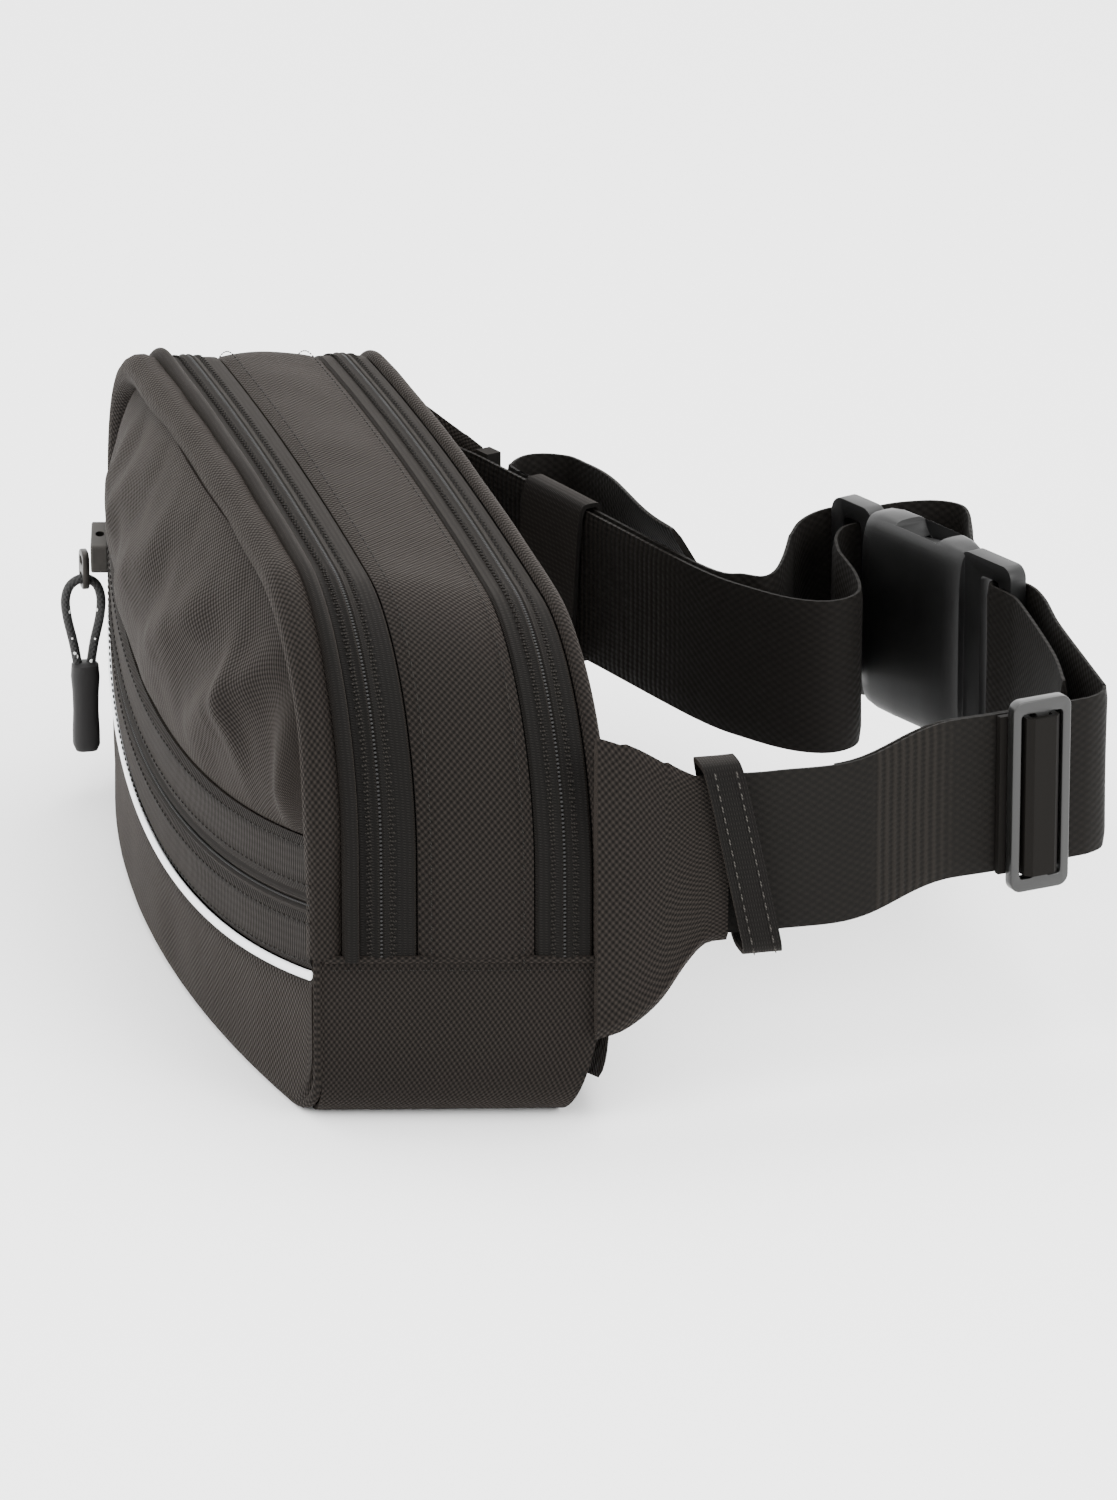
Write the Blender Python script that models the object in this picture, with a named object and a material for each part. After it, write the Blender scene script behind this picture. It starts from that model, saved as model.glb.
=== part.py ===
"""Hip bag with a webbing belt: gusseted two-zip bag, front pocket, hip wings, side-release buckle.

World frame: the bag stands on its bottom at z = 0, its back faces +Y, its front faces -Y,
and X runs along its width. Lengths are in metres.
"""
import math

import bmesh
import bpy
from mathutils import Matrix, Vector

MM = 0.001

# Fits
GAP = 0.3 * MM
FABRIC = 2.0 * MM

# Bag outline
HALF_WIDTH = 130 * MM
WIDTH_FLARE = 0.23
HEIGHT = 114 * MM
HEIGHT_FALL = 0.12
SHOULDER_RADIUS = 36 * MM
CROWN_RADIUS = 1.5
GUSSET_SEAM_Z = 40 * MM
BOTTOM_CORNER_RADIUS = 13 * MM

# Depth of each band of the gusset, front to back
FRONT_SEAM_Y = -41.8 * MM
ROLL_RADIUS = 2.2 * MM
MAIN_ZIP_WIDTH = 15.7 * MM
MIDDLE_GUSSET_DEPTH = 25.4 * MM
REAR_ZIP_WIDTH = 12.4 * MM
FLANGE_WIDTH = 3.7 * MM
BACK_PAD_THICKNESS = 10 * MM
BACK_PAD_INSET = 5 * MM
BACK_PAD_FOOT_Z = 3 * MM
DIVIDER_THICKNESS = 1.2 * MM

# Front panel
FRONT_Y = -62 * MM
FRONT_BULGE = 14.1 * MM
FRONT_SETBACK_Z = 70 * MM
FRONT_SETBACK = 12.2 * MM
LOWER_PANEL_THICKNESS = 2.0 * MM
POCKET_THICKNESS = 10 * MM
POCKET_INSET = 5 * MM
FRONT_PANEL_MARGIN = 3 * MM

# Curved pocket seam: piping, then tape, coil and tape above it
SMILE_Z = 26.5 * MM
SMILE_RISE = 15.42 * MM
SMILE_TILT = 6.62 * MM
PIPING_WIDTH = 2.4 * MM
TAPE_WIDTH = 13.2 * MM
COIL_WIDTH = 5.0 * MM
COIL_RIB = 1.25 * MM

# Zip sliders and their pulls
SLIDER_SIZE = Vector((8 * MM, 11 * MM, 4.4 * MM))
SLIDER_HOLE_RADIUS = 1.1 * MM
POCKET_SLIDER_X = -108 * MM
TAB_SIZE = Vector((6 * MM, 1.6 * MM, 10 * MM))
TAB_HOLE_RADIUS = 1.6 * MM
TAB_HOLE_DROP = 7.4 * MM
CORD_DIAMETER = 2.3 * MM
GRIP_SIZE = Vector((5.4 * MM, 6.4 * MM, 22 * MM))
GRIP_DROP = 30 * MM

# Belt
WEBBING_WIDTH = 38 * MM
WEBBING_THICKNESS = 1.6 * MM
BELT_FRONT_Z = 61 * MM
BELT_BACK_Z = 66 * MM
WING_THICKNESS = 4 * MM
WING_ROOT_LOW_Z = 21 * MM
WING_ROOT_HIGH_Z = 94 * MM
WING_END_MARGIN = 0.5 * MM
WING_SWEEP = 1.6
BINDING_LENGTH = 5 * MM
KEEPER_WALL = 1.3 * MM
KEEPER_RIGHT_LENGTH = 9 * MM
KEEPER_RIGHT_SHARE = 0.52
KEEPER_LEFT_LENGTH = 26 * MM
KEEPER_LEFT_SHARE = 0.60

# Three-bar adjuster
GLIDE_SHARE = 0.72
GLIDE_LENGTH = 15 * MM
GLIDE_END = 3 * MM
GLIDE_THICKNESS = 2.4 * MM
GLIDE_BAR = 2.2 * MM
GLIDE_CENTRE_BAR = 3.2 * MM
SLOT_MARGIN = 1 * MM

# Side-release buckle: s runs from the male web bar to the female web bar
BUCKLE_X = 2
BUCKLE_Y = 126
BUCKLE_TURN = math.radians(22)
BUCKLE_CHEEK = 5 * MM
BUCKLE_THICKNESS = 13 * MM
BUCKLE_BEVEL = 1.8 * MM
BUCKLE_WALL = 2.2 * MM
BUCKLE_WEB_THICKNESS = 4 * MM
FEMALE_MOUTH_S = -18.5 * MM
FEMALE_BODY_END_S = 17 * MM
BUCKLE_END_S = 35 * MM
WEB_BAR = 4.6 * MM
WEB_SLOT = 7.4 * MM
WEB_FRAME_INSET = 1 * MM
WINDOW_START_S = -6.5 * MM
WINDOW_END_S = 9 * MM
PRONG_WIDTH = 4 * MM
PRONG_END_S = 6 * MM
PRONG_THICKNESS = 5 * MM
PRONG_RAMP_RISE = 1.2 * MM
PRONG_NOSE_DROP = 1.3 * MM
TONGUE_HEIGHT = 9 * MM
TONGUE_END_S = 10 * MM

# Plan of each wing past its root and of each webbing run, in millimetres, chosen by hand for wing
# roots at ROUTE_ROOT; belt_point moves them with the roots. A run's third number is its height, from
# 0 at BELT_FRONT_Z to 1 at BELT_BACK_Z. Within ROUTE_STILL_X of the middle a route keeps its X, and
# past ROUTE_RIGID_X it moves as far as the roots.
ROUTE_ROOT = Vector((134 * MM, 17.2 * MM))
ROUTE_STILL_X = 45 * MM
ROUTE_RIGID_X = 110 * MM
WING_RIGHT_ROUTE = [(133.6, 28), (131.8, 40)]
WING_LEFT_ROUTE = [(-134.4, 27.4), (-128.6, 36), (-111, 43.2)]
NEAR_RUN = [(129, 28.5, 0), (127.9, 40, 0), (127.2, 62, 0), (122, 90, 1), (116.75, 111.5, 1),
            (112.2, 130.1, 1), (110.8, 134.6, 1), (108, 138.2, 1), (104.6, 139.6, 1)]
RIGHT_LOOP = [(104.1, 139.8, 1), (86, 140.4, 1), (60, 141.4, 1), (44, 143, 1), (34.6, 142.9, 1),
              (29.6, 141, 1), (26.8, 138.2, 1), (27.2, 135.4, 1), (29.8, 133.6, 1),
              (33.8, 134.6, 1), (38, 136, 1), (46, 136.6, 1), (79, 134.6, 1), (99, 131.6, 1)]
LEFT_RUN = [(-120, 35.6, 0), (-109.4, 40.2, 0), (-99, 43.9, 0), (-55, 58.5, 0), (-11, 73.1, 0),
            (7, 81.6, 0.1), (18.5, 89.6, 0.2), (23, 97.5, 0.3), (19.5, 104.2, 0.4),
            (10, 106.2, 0.6), (-4, 105.9, 0.8)]
BAR_LOOP = [(-4.6, 105.9, 0.8), (-13, 107.4, 0.9), (-18.6, 110.6, 1), (-21, 114.6, 1),
            (-23.4, 119.2, 1), (-28, 119.3, 1), (-32.8, 116.6, 1), (-33.6, 112.4, 1),
            (-32.2, 107.2, 0.9), (-27.6, 102.2, 0.8), (-20.4, 98.2, 0.7)]
TAIL_RUN = [(-19.9, 97.9, 0.7), (-9, 93.6, 0.5), (0, 89.2, 0.4), (2.2, 85.6, 0.3), (-2, 81.8, 0.2),
            (-11.7, 75.2, 0), (-55.7, 60.6, 0), (-92.7, 48.3, 0), (-99.6, 48.4, 0),
            (-104.6, 53.6, 0), (-103, 60.6, 0), (-95, 65.4, 0), (-60, 73.2, 0), (-27, 79.6, 0)]
CORD_LOOP = [(-1.5, -29.7), (-2.6, -24), (-3.4, -17), (-3.3, -11.6), (-2.2, -8.6), (0, -7.4),
             (2.2, -8.6), (3.3, -11.6), (3.4, -17), (2.6, -24), (1.5, -29.7)]

# Sampling
SMOOTH_ANGLE = math.radians(35)
SIDE_STEPS = 3
FLOOR_STEPS = 8
SHOULDER_STEPS = 9
CROWN_STEPS = 12
PANEL_STEPS = 28
PANEL_ROWS = 5
RIBBON_STEP = 4.0 * MM
SMALL_BEVEL = 0.5 * MM
SOFT_BEVEL = 1.2 * MM

# Colours (linear) with roughness
CORDURA = ((0.042, 0.037, 0.033), 0.85)
TAPE = ((0.024, 0.022, 0.020), 0.80)
WEBBING = ((0.026, 0.023, 0.021), 0.70)
LINING = ((0.060, 0.060, 0.060), 0.80)
REFLECTIVE = ((0.78, 0.80, 0.80), 0.45)
ACETAL = ((0.018, 0.018, 0.018), 0.38)
COIL = ((0.015, 0.015, 0.015), 0.50)
DIECAST = ((0.05, 0.05, 0.05), 0.30)
GRIP = ((0.05, 0.048, 0.048), 0.60)


def clear_scene():
    for obj in list(bpy.data.objects):
        bpy.data.objects.remove(obj, do_unlink=True)


# Objects, materials and modifiers

def finish(obj, look, metallic=0.0, smooth=True):
    colour, roughness = look
    material = bpy.data.materials.new(obj.name)
    material.use_nodes = True
    shader = material.node_tree.nodes["Principled BSDF"]
    shader.inputs["Base Color"].default_value = (*colour, 1.0)
    shader.inputs["Roughness"].default_value = roughness
    shader.inputs["Metallic"].default_value = metallic
    obj.data.materials.append(material)
    if smooth and obj.type == "MESH":
        obj.data.shade_smooth()
        obj.data.set_sharp_from_angle(angle=SMOOTH_ANGLE)
    return obj


def link(name, data, parent=None):
    obj = bpy.data.objects.new(name, data)
    bpy.context.scene.collection.objects.link(obj)
    obj.parent = parent
    return obj


def pivot(name, matrix, parent=None):
    """An empty on a joint's axis, placed in world coordinates."""
    empty = link(name, None)
    empty.matrix_world = matrix
    if parent is not None:
        empty.parent = parent
        empty.matrix_parent_inverse = parent.matrix_world.inverted()
    return empty


def attach(obj, parent):
    """Parents obj, whose mesh is in world coordinates, and puts its origin on the parent's."""
    obj.data.transform(parent.matrix_world.inverted())
    obj.parent = parent
    return obj


def loft(name, sections):
    """A closed solid through sections that have the same number of points each."""
    bm = bmesh.new()
    rings = [[bm.verts.new(point) for point in section] for section in sections]
    for one, two in zip(rings, rings[1:]):
        for index in range(len(one)):
            after = (index + 1) % len(one)
            bm.faces.new((one[index], one[after], two[after], two[index]))
    bm.faces.new(list(reversed(rings[0])))
    bm.faces.new(rings[-1])
    bmesh.ops.recalc_face_normals(bm, faces=bm.faces)
    mesh = bpy.data.meshes.new(name)
    bm.to_mesh(mesh)
    bm.free()
    return link(name, mesh)


def box(name, low, high):
    """A box between two corners."""
    bm = bmesh.new()
    bmesh.ops.create_cube(bm, size=1.0)
    size = Vector(high) - Vector(low)
    middle = (Vector(high) + Vector(low)) / 2
    bm.transform(Matrix.Translation(middle) @ Matrix.Diagonal((*size, 1.0)))
    mesh = bpy.data.meshes.new(name)
    bm.to_mesh(mesh)
    bm.free()
    return link(name, mesh)


def cylinder(name, centre, axis, radius, length, segments=24):
    bm = bmesh.new()
    bmesh.ops.create_cone(bm, cap_ends=True, segments=segments, radius1=radius, radius2=radius,
                          depth=length)
    turn = Vector((0, 0, 1)).rotation_difference(Vector(axis)).to_matrix().to_4x4()
    bm.transform(Matrix.Translation(centre) @ turn)
    mesh = bpy.data.meshes.new(name)
    bm.to_mesh(mesh)
    bm.free()
    return link(name, mesh)


def bevel(obj, width, segments=2):
    modifier = obj.modifiers.new("bevel", "BEVEL")
    modifier.width = width
    modifier.segments = segments
    modifier.limit_method = "ANGLE"
    return obj


def combine(obj, other, operation):
    modifier = obj.modifiers.new(other.name, "BOOLEAN")
    modifier.operation = operation
    modifier.solver = "EXACT"
    modifier.object = other
    other.hide_render = True
    other.display_type = "WIRE"
    return obj


def settle(obj, matrix=None):
    """Applies obj's modifiers, removes their operands and moves the mesh by the matrix."""
    operands = [m.object for m in obj.modifiers if m.type == "BOOLEAN"]
    bpy.context.view_layer.update()
    evaluated = obj.evaluated_get(bpy.context.evaluated_depsgraph_get())
    mesh = bpy.data.meshes.new_from_object(evaluated)
    obj.modifiers.clear()
    obj.data = mesh
    for operand in operands:
        bpy.data.objects.remove(operand, do_unlink=True)
    if matrix is not None:
        mesh.transform(matrix)
    return obj


# Bag outline

def half_width(y):
    return HALF_WIDTH + WIDTH_FLARE * y


def height(y):
    return HEIGHT - HEIGHT_FALL * y


def shoulder_centre(y):
    """Centre of the +X shoulder's arc, where it runs smoothly into the side and the crown."""
    x = half_width(y) - SHOULDER_RADIUS
    reach = math.sqrt((CROWN_RADIUS - SHOULDER_RADIUS) ** 2 - x ** 2)
    return x, height(y) - CROWN_RADIUS + reach


def arch(y, inset, base_z):
    """Points (x, z) of the bag's arch from the +X side over the top to the -X side."""
    x, z = shoulder_centre(y)
    radius = SHOULDER_RADIUS - inset
    lean = math.asin(x / (CROWN_RADIUS - SHOULDER_RADIUS))
    half = [(x + radius, base_z + (z - base_z) * step / SIDE_STEPS) for step in range(SIDE_STEPS)]
    for step in range(SHOULDER_STEPS):
        turn = (math.pi / 2 - lean) * step / SHOULDER_STEPS
        half.append((x + radius * math.cos(turn), z + radius * math.sin(turn)))
    crown = CROWN_RADIUS - inset
    for step in range(CROWN_STEPS):
        turn = lean * (1 - step / CROWN_STEPS)
        half.append((crown * math.sin(turn), height(y) - CROWN_RADIUS + crown * math.cos(turn)))
    top = (0.0, height(y) - inset)
    return half + [top] + [(-px, pz) for px, pz in reversed(half)]


def arch_band(name, front_y, back_y, thickness, base_z, inset=0.0):
    outer_front = arch(front_y, inset, base_z)
    outer_back = arch(back_y, inset, base_z)
    inner_front = arch(front_y, inset + thickness, base_z)
    inner_back = arch(back_y, inset + thickness, base_z)
    sections = []
    for (ax, az), (bx, bz), (cx, cz), (dx, dz) in zip(outer_front, outer_back, inner_back, inner_front):
        sections.append([(ax, front_y, az), (bx, back_y, bz), (cx, back_y, cz), (dx, front_y, dz)])
    return loft(name, sections)


def arch_slab(name, front_y, back_y, inset, base_z):
    """A flat panel filling the arch, from base_z up."""
    return loft(name, [[(x, y, z) for x, z in arch(y, inset, base_z)] for y in (front_y, back_y)])


# Front surface

def seam_half_width():
    return half_width(FRONT_SEAM_Y)


def front_y(x, z):
    """The front's middle stands out past its ends, and its top is set back."""
    rise = max(0.0, z - FRONT_SETBACK_Z) / (height(FRONT_SEAM_Y) - FRONT_SETBACK_Z)
    return FRONT_Y + FRONT_BULGE * (x / seam_half_width()) ** 2 + FRONT_SETBACK * rise * rise


def smile_z(x, lift=0.0):
    share = x / seam_half_width()
    return SMILE_Z + lift + SMILE_RISE * share ** 2 - SMILE_TILT * share


def bottom_z(x, half):
    """Height of the front panel's lower edge, with its rounded corners."""
    past = max(0.0, abs(x) - (half - BOTTOM_CORNER_RADIUS)) / BOTTOM_CORNER_RADIUS
    return BOTTOM_CORNER_RADIUS * (1 - math.cos(math.asin(min(1.0, past))))


def draped_panel(name, half, low, high, thickness):
    """A panel on the front surface between two heights given as functions of x."""
    sections = []
    for step in range(PANEL_STEPS + 1):
        x = half * (2 * step / PANEL_STEPS - 1)
        heights = [low(x) + (high(x) - low(x)) * row / PANEL_ROWS for row in range(PANEL_ROWS + 1)]
        front = [(x, front_y(x, z), z) for z in heights]
        back = [(x, front_y(x, z) + thickness, z) for z in reversed(heights)]
        sections.append(front + back)
    return loft(name, sections)


def bag_depths():
    """Front and back y of each band, worked out from the front seam backwards."""
    zip_front = FRONT_SEAM_Y + GAP
    zip_back = zip_front + MAIN_ZIP_WIDTH
    middle_back = zip_back + GAP + MIDDLE_GUSSET_DEPTH
    rear_back = middle_back + GAP + REAR_ZIP_WIDTH
    flange_back = rear_back + GAP + FLANGE_WIDTH
    return {
        "roll": FRONT_SEAM_Y - ROLL_RADIUS,
        "front_zip": (zip_front, zip_back),
        "middle": (zip_back + GAP, middle_back),
        "rear_zip": (middle_back + GAP, rear_back),
        "flange": (rear_back + GAP, flange_back),
        "pad": (flange_back + GAP, flange_back + GAP + BACK_PAD_THICKNESS),
    }


# Bag body

def build_bag_bands(depths):
    base = GUSSET_SEAM_Z + GAP / 2
    finish(arch_band("front_zip_tape", *depths["front_zip"], FABRIC, base), TAPE)
    finish(arch_band("gusset_middle", *depths["middle"], FABRIC, base), CORDURA)
    finish(arch_band("rear_zip_tape", *depths["rear_zip"], FABRIC, base), TAPE)
    finish(arch_band("rear_flange", *depths["flange"], FABRIC, base), CORDURA)


def build_zip_coils(depths):
    """The coil of each main zip, a low rib on the outside of its tape."""
    for name, key in (("front_zip_coil", "front_zip"), ("rear_zip_coil", "rear_zip")):
        middle = sum(depths[key]) / 2
        coil = arch_band(name, middle - COIL_RIB, middle + COIL_RIB, COIL_RIB, GUSSET_SEAM_Z + GAP,
                         -GAP - COIL_RIB)
        finish(coil, COIL)


def build_back(depths):
    front, back = depths["pad"]
    finish(arch_slab("back_panel", front, back, BACK_PAD_INSET, BACK_PAD_FOOT_Z), CORDURA)


def build_divider(depths):
    """Fabric wall between the main compartment and the rear one."""
    back = depths["middle"][1]
    foot = BOTTOM_CORNER_RADIUS
    slab = arch_slab("divider_panel", back - DIVIDER_THICKNESS, back, FABRIC + GAP, foot)
    finish(slab, LINING)


def build_edge_roll(depths):
    y = depths["roll"]
    points = [(x, y, z) for x, z in arch(y, ROLL_RADIUS, GUSSET_SEAM_Z + GAP)]
    finish(tube("edge_roll", points, ROLL_RADIUS), CORDURA)


def build_bottom_gusset(depths):
    """Trough under the bag that turns up both ends to the gusset seam."""
    back = depths["flange"][1]
    radius = BOTTOM_CORNER_RADIUS
    top = GUSSET_SEAM_Z - GAP / 2
    corner = [math.pi / 2 * step / SHOULDER_STEPS for step in range(SHOULDER_STEPS + 1)]

    def path(y, inset):
        half = half_width(y)
        side = [(half - inset, top - (top - radius) * step / SIDE_STEPS) for step in range(SIDE_STEPS)]
        turn = [(half - radius + (radius - inset) * math.cos(a), radius - (radius - inset) * math.sin(a))
                for a in corner]
        floor = [((half - radius) * (1 - step / FLOOR_STEPS), inset) for step in range(1, FLOOR_STEPS + 1)]
        right = side + turn + floor
        return right + [(-x, z) for x, z in reversed(right[:-1])]

    seam_y = front_y(half_width(depths["roll"]), 0.0) + LOWER_PANEL_THICKNESS + GAP
    outer, inner = path(seam_y, 0.0), path(seam_y, FABRIC)
    outer_back, inner_back = path(back, 0.0), path(back, FABRIC)
    sections = []
    for (ax, az), (bx, bz), (cx, cz), (dx, dz) in zip(outer, outer_back, inner_back, inner):
        near = front_y(ax, az) + LOWER_PANEL_THICKNESS + GAP
        sections.append([(ax, near, az), (bx, back, bz), (cx, back, cz), (dx, near, dz)])
    finish(loft("bottom_gusset", sections), CORDURA)


def build_front(depths):
    half = half_width(depths["roll"]) - FRONT_PANEL_MARGIN
    finish(draped_panel("front_panel_lower", half, lambda x: bottom_z(x, half),
                        lambda x: smile_z(x) - GAP, LOWER_PANEL_THICKNESS), CORDURA)
    strips = (("reflective_piping", PIPING_WIDTH, REFLECTIVE),
              ("pocket_tape_lower", TAPE_WIDTH, TAPE),
              ("pocket_zip_coil", COIL_WIDTH, COIL),
              ("pocket_tape_upper", TAPE_WIDTH, TAPE))
    lift = 0.0
    for name, width, look in strips:
        low, high = lift, lift + width - GAP
        finish(draped_panel(name, half, lambda x, low=low: smile_z(x, low),
                            lambda x, high=high: smile_z(x, high), LOWER_PANEL_THICKNESS), look)
        lift += width
    y = depths["roll"]
    inner = half_width(y) - POCKET_INSET
    rim = arch(y, POCKET_INSET, GUSSET_SEAM_Z)

    def rim_z(x):
        for (ax, az), (bx, bz) in zip(rim, rim[1:]):
            if bx <= x <= ax and ax > bx:
                return bz + (az - bz) * (x - bx) / (ax - bx)
        return shoulder_centre(y)[1]

    side = inner - FRONT_PANEL_MARGIN
    finish(draped_panel("front_pocket", side, lambda x: smile_z(x, lift), rim_z, POCKET_THICKNESS),
           CORDURA)


# Webbing, cords and wings

def smooth_route(points, step):
    """Points a step apart along a Catmull-Rom curve through the given ones."""
    vectors = [Vector(p) for p in points]
    padded = [2 * vectors[0] - vectors[1]] + vectors + [2 * vectors[-1] - vectors[-2]]
    route = []
    for a, b, c, d in zip(padded, padded[1:], padded[2:], padded[3:]):
        count = max(1, round((c - b).length / step))
        for index in range(count):
            t = index / count
            route.append(0.5 * (2 * b + (c - a) * t + (2 * a - 5 * b + 4 * c - d) * t ** 2
                                + (3 * b - a - 3 * c + d) * t ** 3))
    return route + [vectors[-1]]


def wing_root():
    """Plan position of the +X wing's root, at the back seam."""
    y = bag_depths()["pad"][0] + GAP
    return Vector((half_width(y), y))


def belt_point(x, y, climb=0.0):
    """A point of a route, moved with the wing roots."""
    shift = wing_root() - ROUTE_ROOT
    share = (abs(x) * MM - ROUTE_STILL_X) / (ROUTE_RIGID_X - ROUTE_STILL_X)
    spread = math.copysign(shift.x * min(1.0, max(0.0, share)), x)
    rise = BELT_FRONT_Z + (BELT_BACK_Z - BELT_FRONT_Z) * climb
    return Vector((x * MM + spread, y * MM + shift.y, rise))


def ribbon(name, points, step=RIBBON_STEP):
    """Webbing on edge: its width stands along Z, its route lies in plan."""
    route = smooth_route(points, step)
    sections = []
    for index, point in enumerate(route):
        ahead = route[min(index + 1, len(route) - 1)]
        behind = route[max(index - 1, 0)]
        run = (ahead - behind).xy.normalized()
        side = Vector((run.y, -run.x, 0)) * WEBBING_THICKNESS / 2
        up = Vector((0, 0, WEBBING_WIDTH / 2))
        sections.append([point + side - up, point + side + up, point - side + up, point - side - up])
    return finish(loft(name, sections), WEBBING)


def tube(name, points, radius, resolution=2):
    curve = bpy.data.curves.new(name, "CURVE")
    curve.dimensions = "3D"
    curve.bevel_depth = radius
    curve.bevel_resolution = resolution
    curve.use_fill_caps = True
    spline = curve.splines.new("POLY")
    spline.points.add(len(points) - 1)
    for slot, point in zip(spline.points, points):
        slot.co = (*point, 1.0)
    return link(name, curve)


def build_wing(name, root, points):
    """Padded hip wing from the back seam to the webbing, tapering towards its end."""
    flat = [belt_point(x, y).xy for x, y in points]
    route = smooth_route([(*point, 0.0) for point in [root] + flat], RIBBON_STEP)
    half = WEBBING_WIDTH / 2 + WING_END_MARGIN
    sections = []
    for index, middle in enumerate(route):
        ahead = route[min(index + 1, len(route) - 1)]
        run = (ahead - route[max(index - 1, 0)]).normalized()
        side = Vector((run.y, -run.x, 0)) * WING_THICKNESS / 2
        share = index / (len(route) - 1)
        rise = (BELT_FRONT_Z - half - WING_ROOT_LOW_Z) * share ** WING_SWEEP
        low = Vector((0, 0, WING_ROOT_LOW_Z + rise))
        fall = (WING_ROOT_HIGH_Z - BELT_FRONT_Z - half) * share
        high = Vector((0, 0, WING_ROOT_HIGH_Z - fall))
        sections.append([middle + side + low, middle + side + high,
                         middle - side + high, middle - side + low])
    finish(loft(name, sections), CORDURA)
    start = route[-1] + run * GAP
    low, high = Vector((0, 0, BELT_FRONT_Z - half)), Vector((0, 0, BELT_FRONT_Z + half))
    sections = [[end + side + low, end + side + high, end - side + high, end - side + low]
                for end in (start, start + run * BINDING_LENGTH)]
    finish(loft(name.replace("wing", "wing_binding"), sections), TAPE)


def build_wings():
    x, y = wing_root()
    build_wing("wing_right", Vector((x, y)), WING_RIGHT_ROUTE)
    build_wing("wing_left", Vector((-x, y)), WING_LEFT_ROUTE)


def build_webbing():
    for name, run, step in (("webbing_right", NEAR_RUN, RIBBON_STEP),
                            ("webbing_right_loop", RIGHT_LOOP, RIBBON_STEP / 2),
                            ("webbing_left", LEFT_RUN, RIBBON_STEP),
                            ("webbing_left_tail", TAIL_RUN, RIBBON_STEP / 2)):
        ribbon(name, [belt_point(*point) for point in run], step)


# Keepers and adjuster

def run_matrix(start, end, share, lift):
    """Frame with X along a straight stretch of webbing, Y to its side and Z up."""
    start, end = belt_point(*start), belt_point(*end)
    middle = start.lerp(end, share)
    run = (end - start).xy.normalized()
    return Matrix(((run.x, -run.y, 0, middle.x), (run.y, run.x, 0, middle.y),
                   (0, 0, 1, lift), (0, 0, 0, 1)))


def build_keeper(name, frame, length, layers, side_shift):
    """Flat sleeve round the webbing, free to slide on it."""
    inner = layers * WEBBING_THICKNESS + (layers + 1) * GAP + GAP
    tall = WEBBING_WIDTH / 2 + 2 * GAP
    wall = KEEPER_WALL
    empty = pivot(name + "_pivot", frame)
    sleeve = box(name, (-length / 2, side_shift - inner / 2 - wall, -tall - wall),
                 (length / 2, side_shift + inner / 2 + wall, tall + wall))
    slot = box(name + "_slot", (-length, side_shift - inner / 2, -tall),
               (length, side_shift + inner / 2, tall))
    combine(sleeve, slot, "DIFFERENCE")
    settle(sleeve)
    sleeve.parent = empty
    finish(sleeve, WEBBING)


def build_keepers():
    right = run_matrix(NEAR_RUN[1], NEAR_RUN[2], KEEPER_RIGHT_SHARE, BELT_FRONT_Z)
    build_keeper("keeper_right", right, KEEPER_RIGHT_LENGTH, 1, 0.0)
    left = run_matrix(LEFT_RUN[2], LEFT_RUN[3], KEEPER_LEFT_SHARE, BELT_FRONT_Z)
    layer = WEBBING_THICKNESS + 2 * GAP
    build_keeper("keeper_left", left, KEEPER_LEFT_LENGTH, 2, layer / 2)


def build_tri_glide():
    """Three-bar adjuster with the sewn end of the webbing round its centre bar."""
    frame = run_matrix(NEAR_RUN[3], NEAR_RUN[5], GLIDE_SHARE, BELT_BACK_Z)
    empty = pivot("tri_glide_pivot", frame)
    half = GLIDE_LENGTH / 2
    slot_tall = WEBBING_WIDTH / 2 + SLOT_MARGIN
    tall = slot_tall + GLIDE_END
    layer = WEBBING_THICKNESS / 2
    near = -(layer + GAP + 2 * layer + 2 * GAP)
    far = near - GLIDE_THICKNESS
    plate = box("tri_glide", (-half, far, -tall), (half, near, tall))
    bevel(plate, SMALL_BEVEL)
    for side in (-1, 1):
        inner, outer = GLIDE_CENTRE_BAR / 2, half - GLIDE_BAR
        low, high = sorted((side * inner, side * outer))
        slot = box(f"tri_glide_slot_{side}", (low, far - GAP, -slot_tall), (high, near + GAP, slot_tall))
        combine(plate, slot, "DIFFERENCE")
    settle(plate)
    plate.parent = empty
    finish(plate, ACETAL)
    slot_x = (GLIDE_CENTRE_BAR / 2 + half - GLIDE_BAR) / 2
    under = -(layer + GAP + layer)
    over = far - GAP - layer
    route = [(-half - 2 * layer, under), (-slot_x - layer, under), (-slot_x, under - layer),
             (-slot_x, over + layer), (-slot_x + layer, over)]
    route += [(-x, y) for x, y in reversed(route)]
    end = ribbon("webbing_sewn_end", [frame @ Vector((x, y, 0)) for x, y in route], 2 * RIBBON_STEP)
    attach(end, empty)


# Side-release buckle

def buckle_matrix():
    return Matrix.Translation(belt_point(BUCKLE_X, BUCKLE_Y, 1.0)) @ Matrix.Rotation(BUCKLE_TURN, 4, "Z")


def buckle_half():
    """Half the buckle's height, and half that of its web slots."""
    slot = WEBBING_WIDTH / 2 + SLOT_MARGIN
    return slot + BUCKLE_CHEEK, slot


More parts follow.
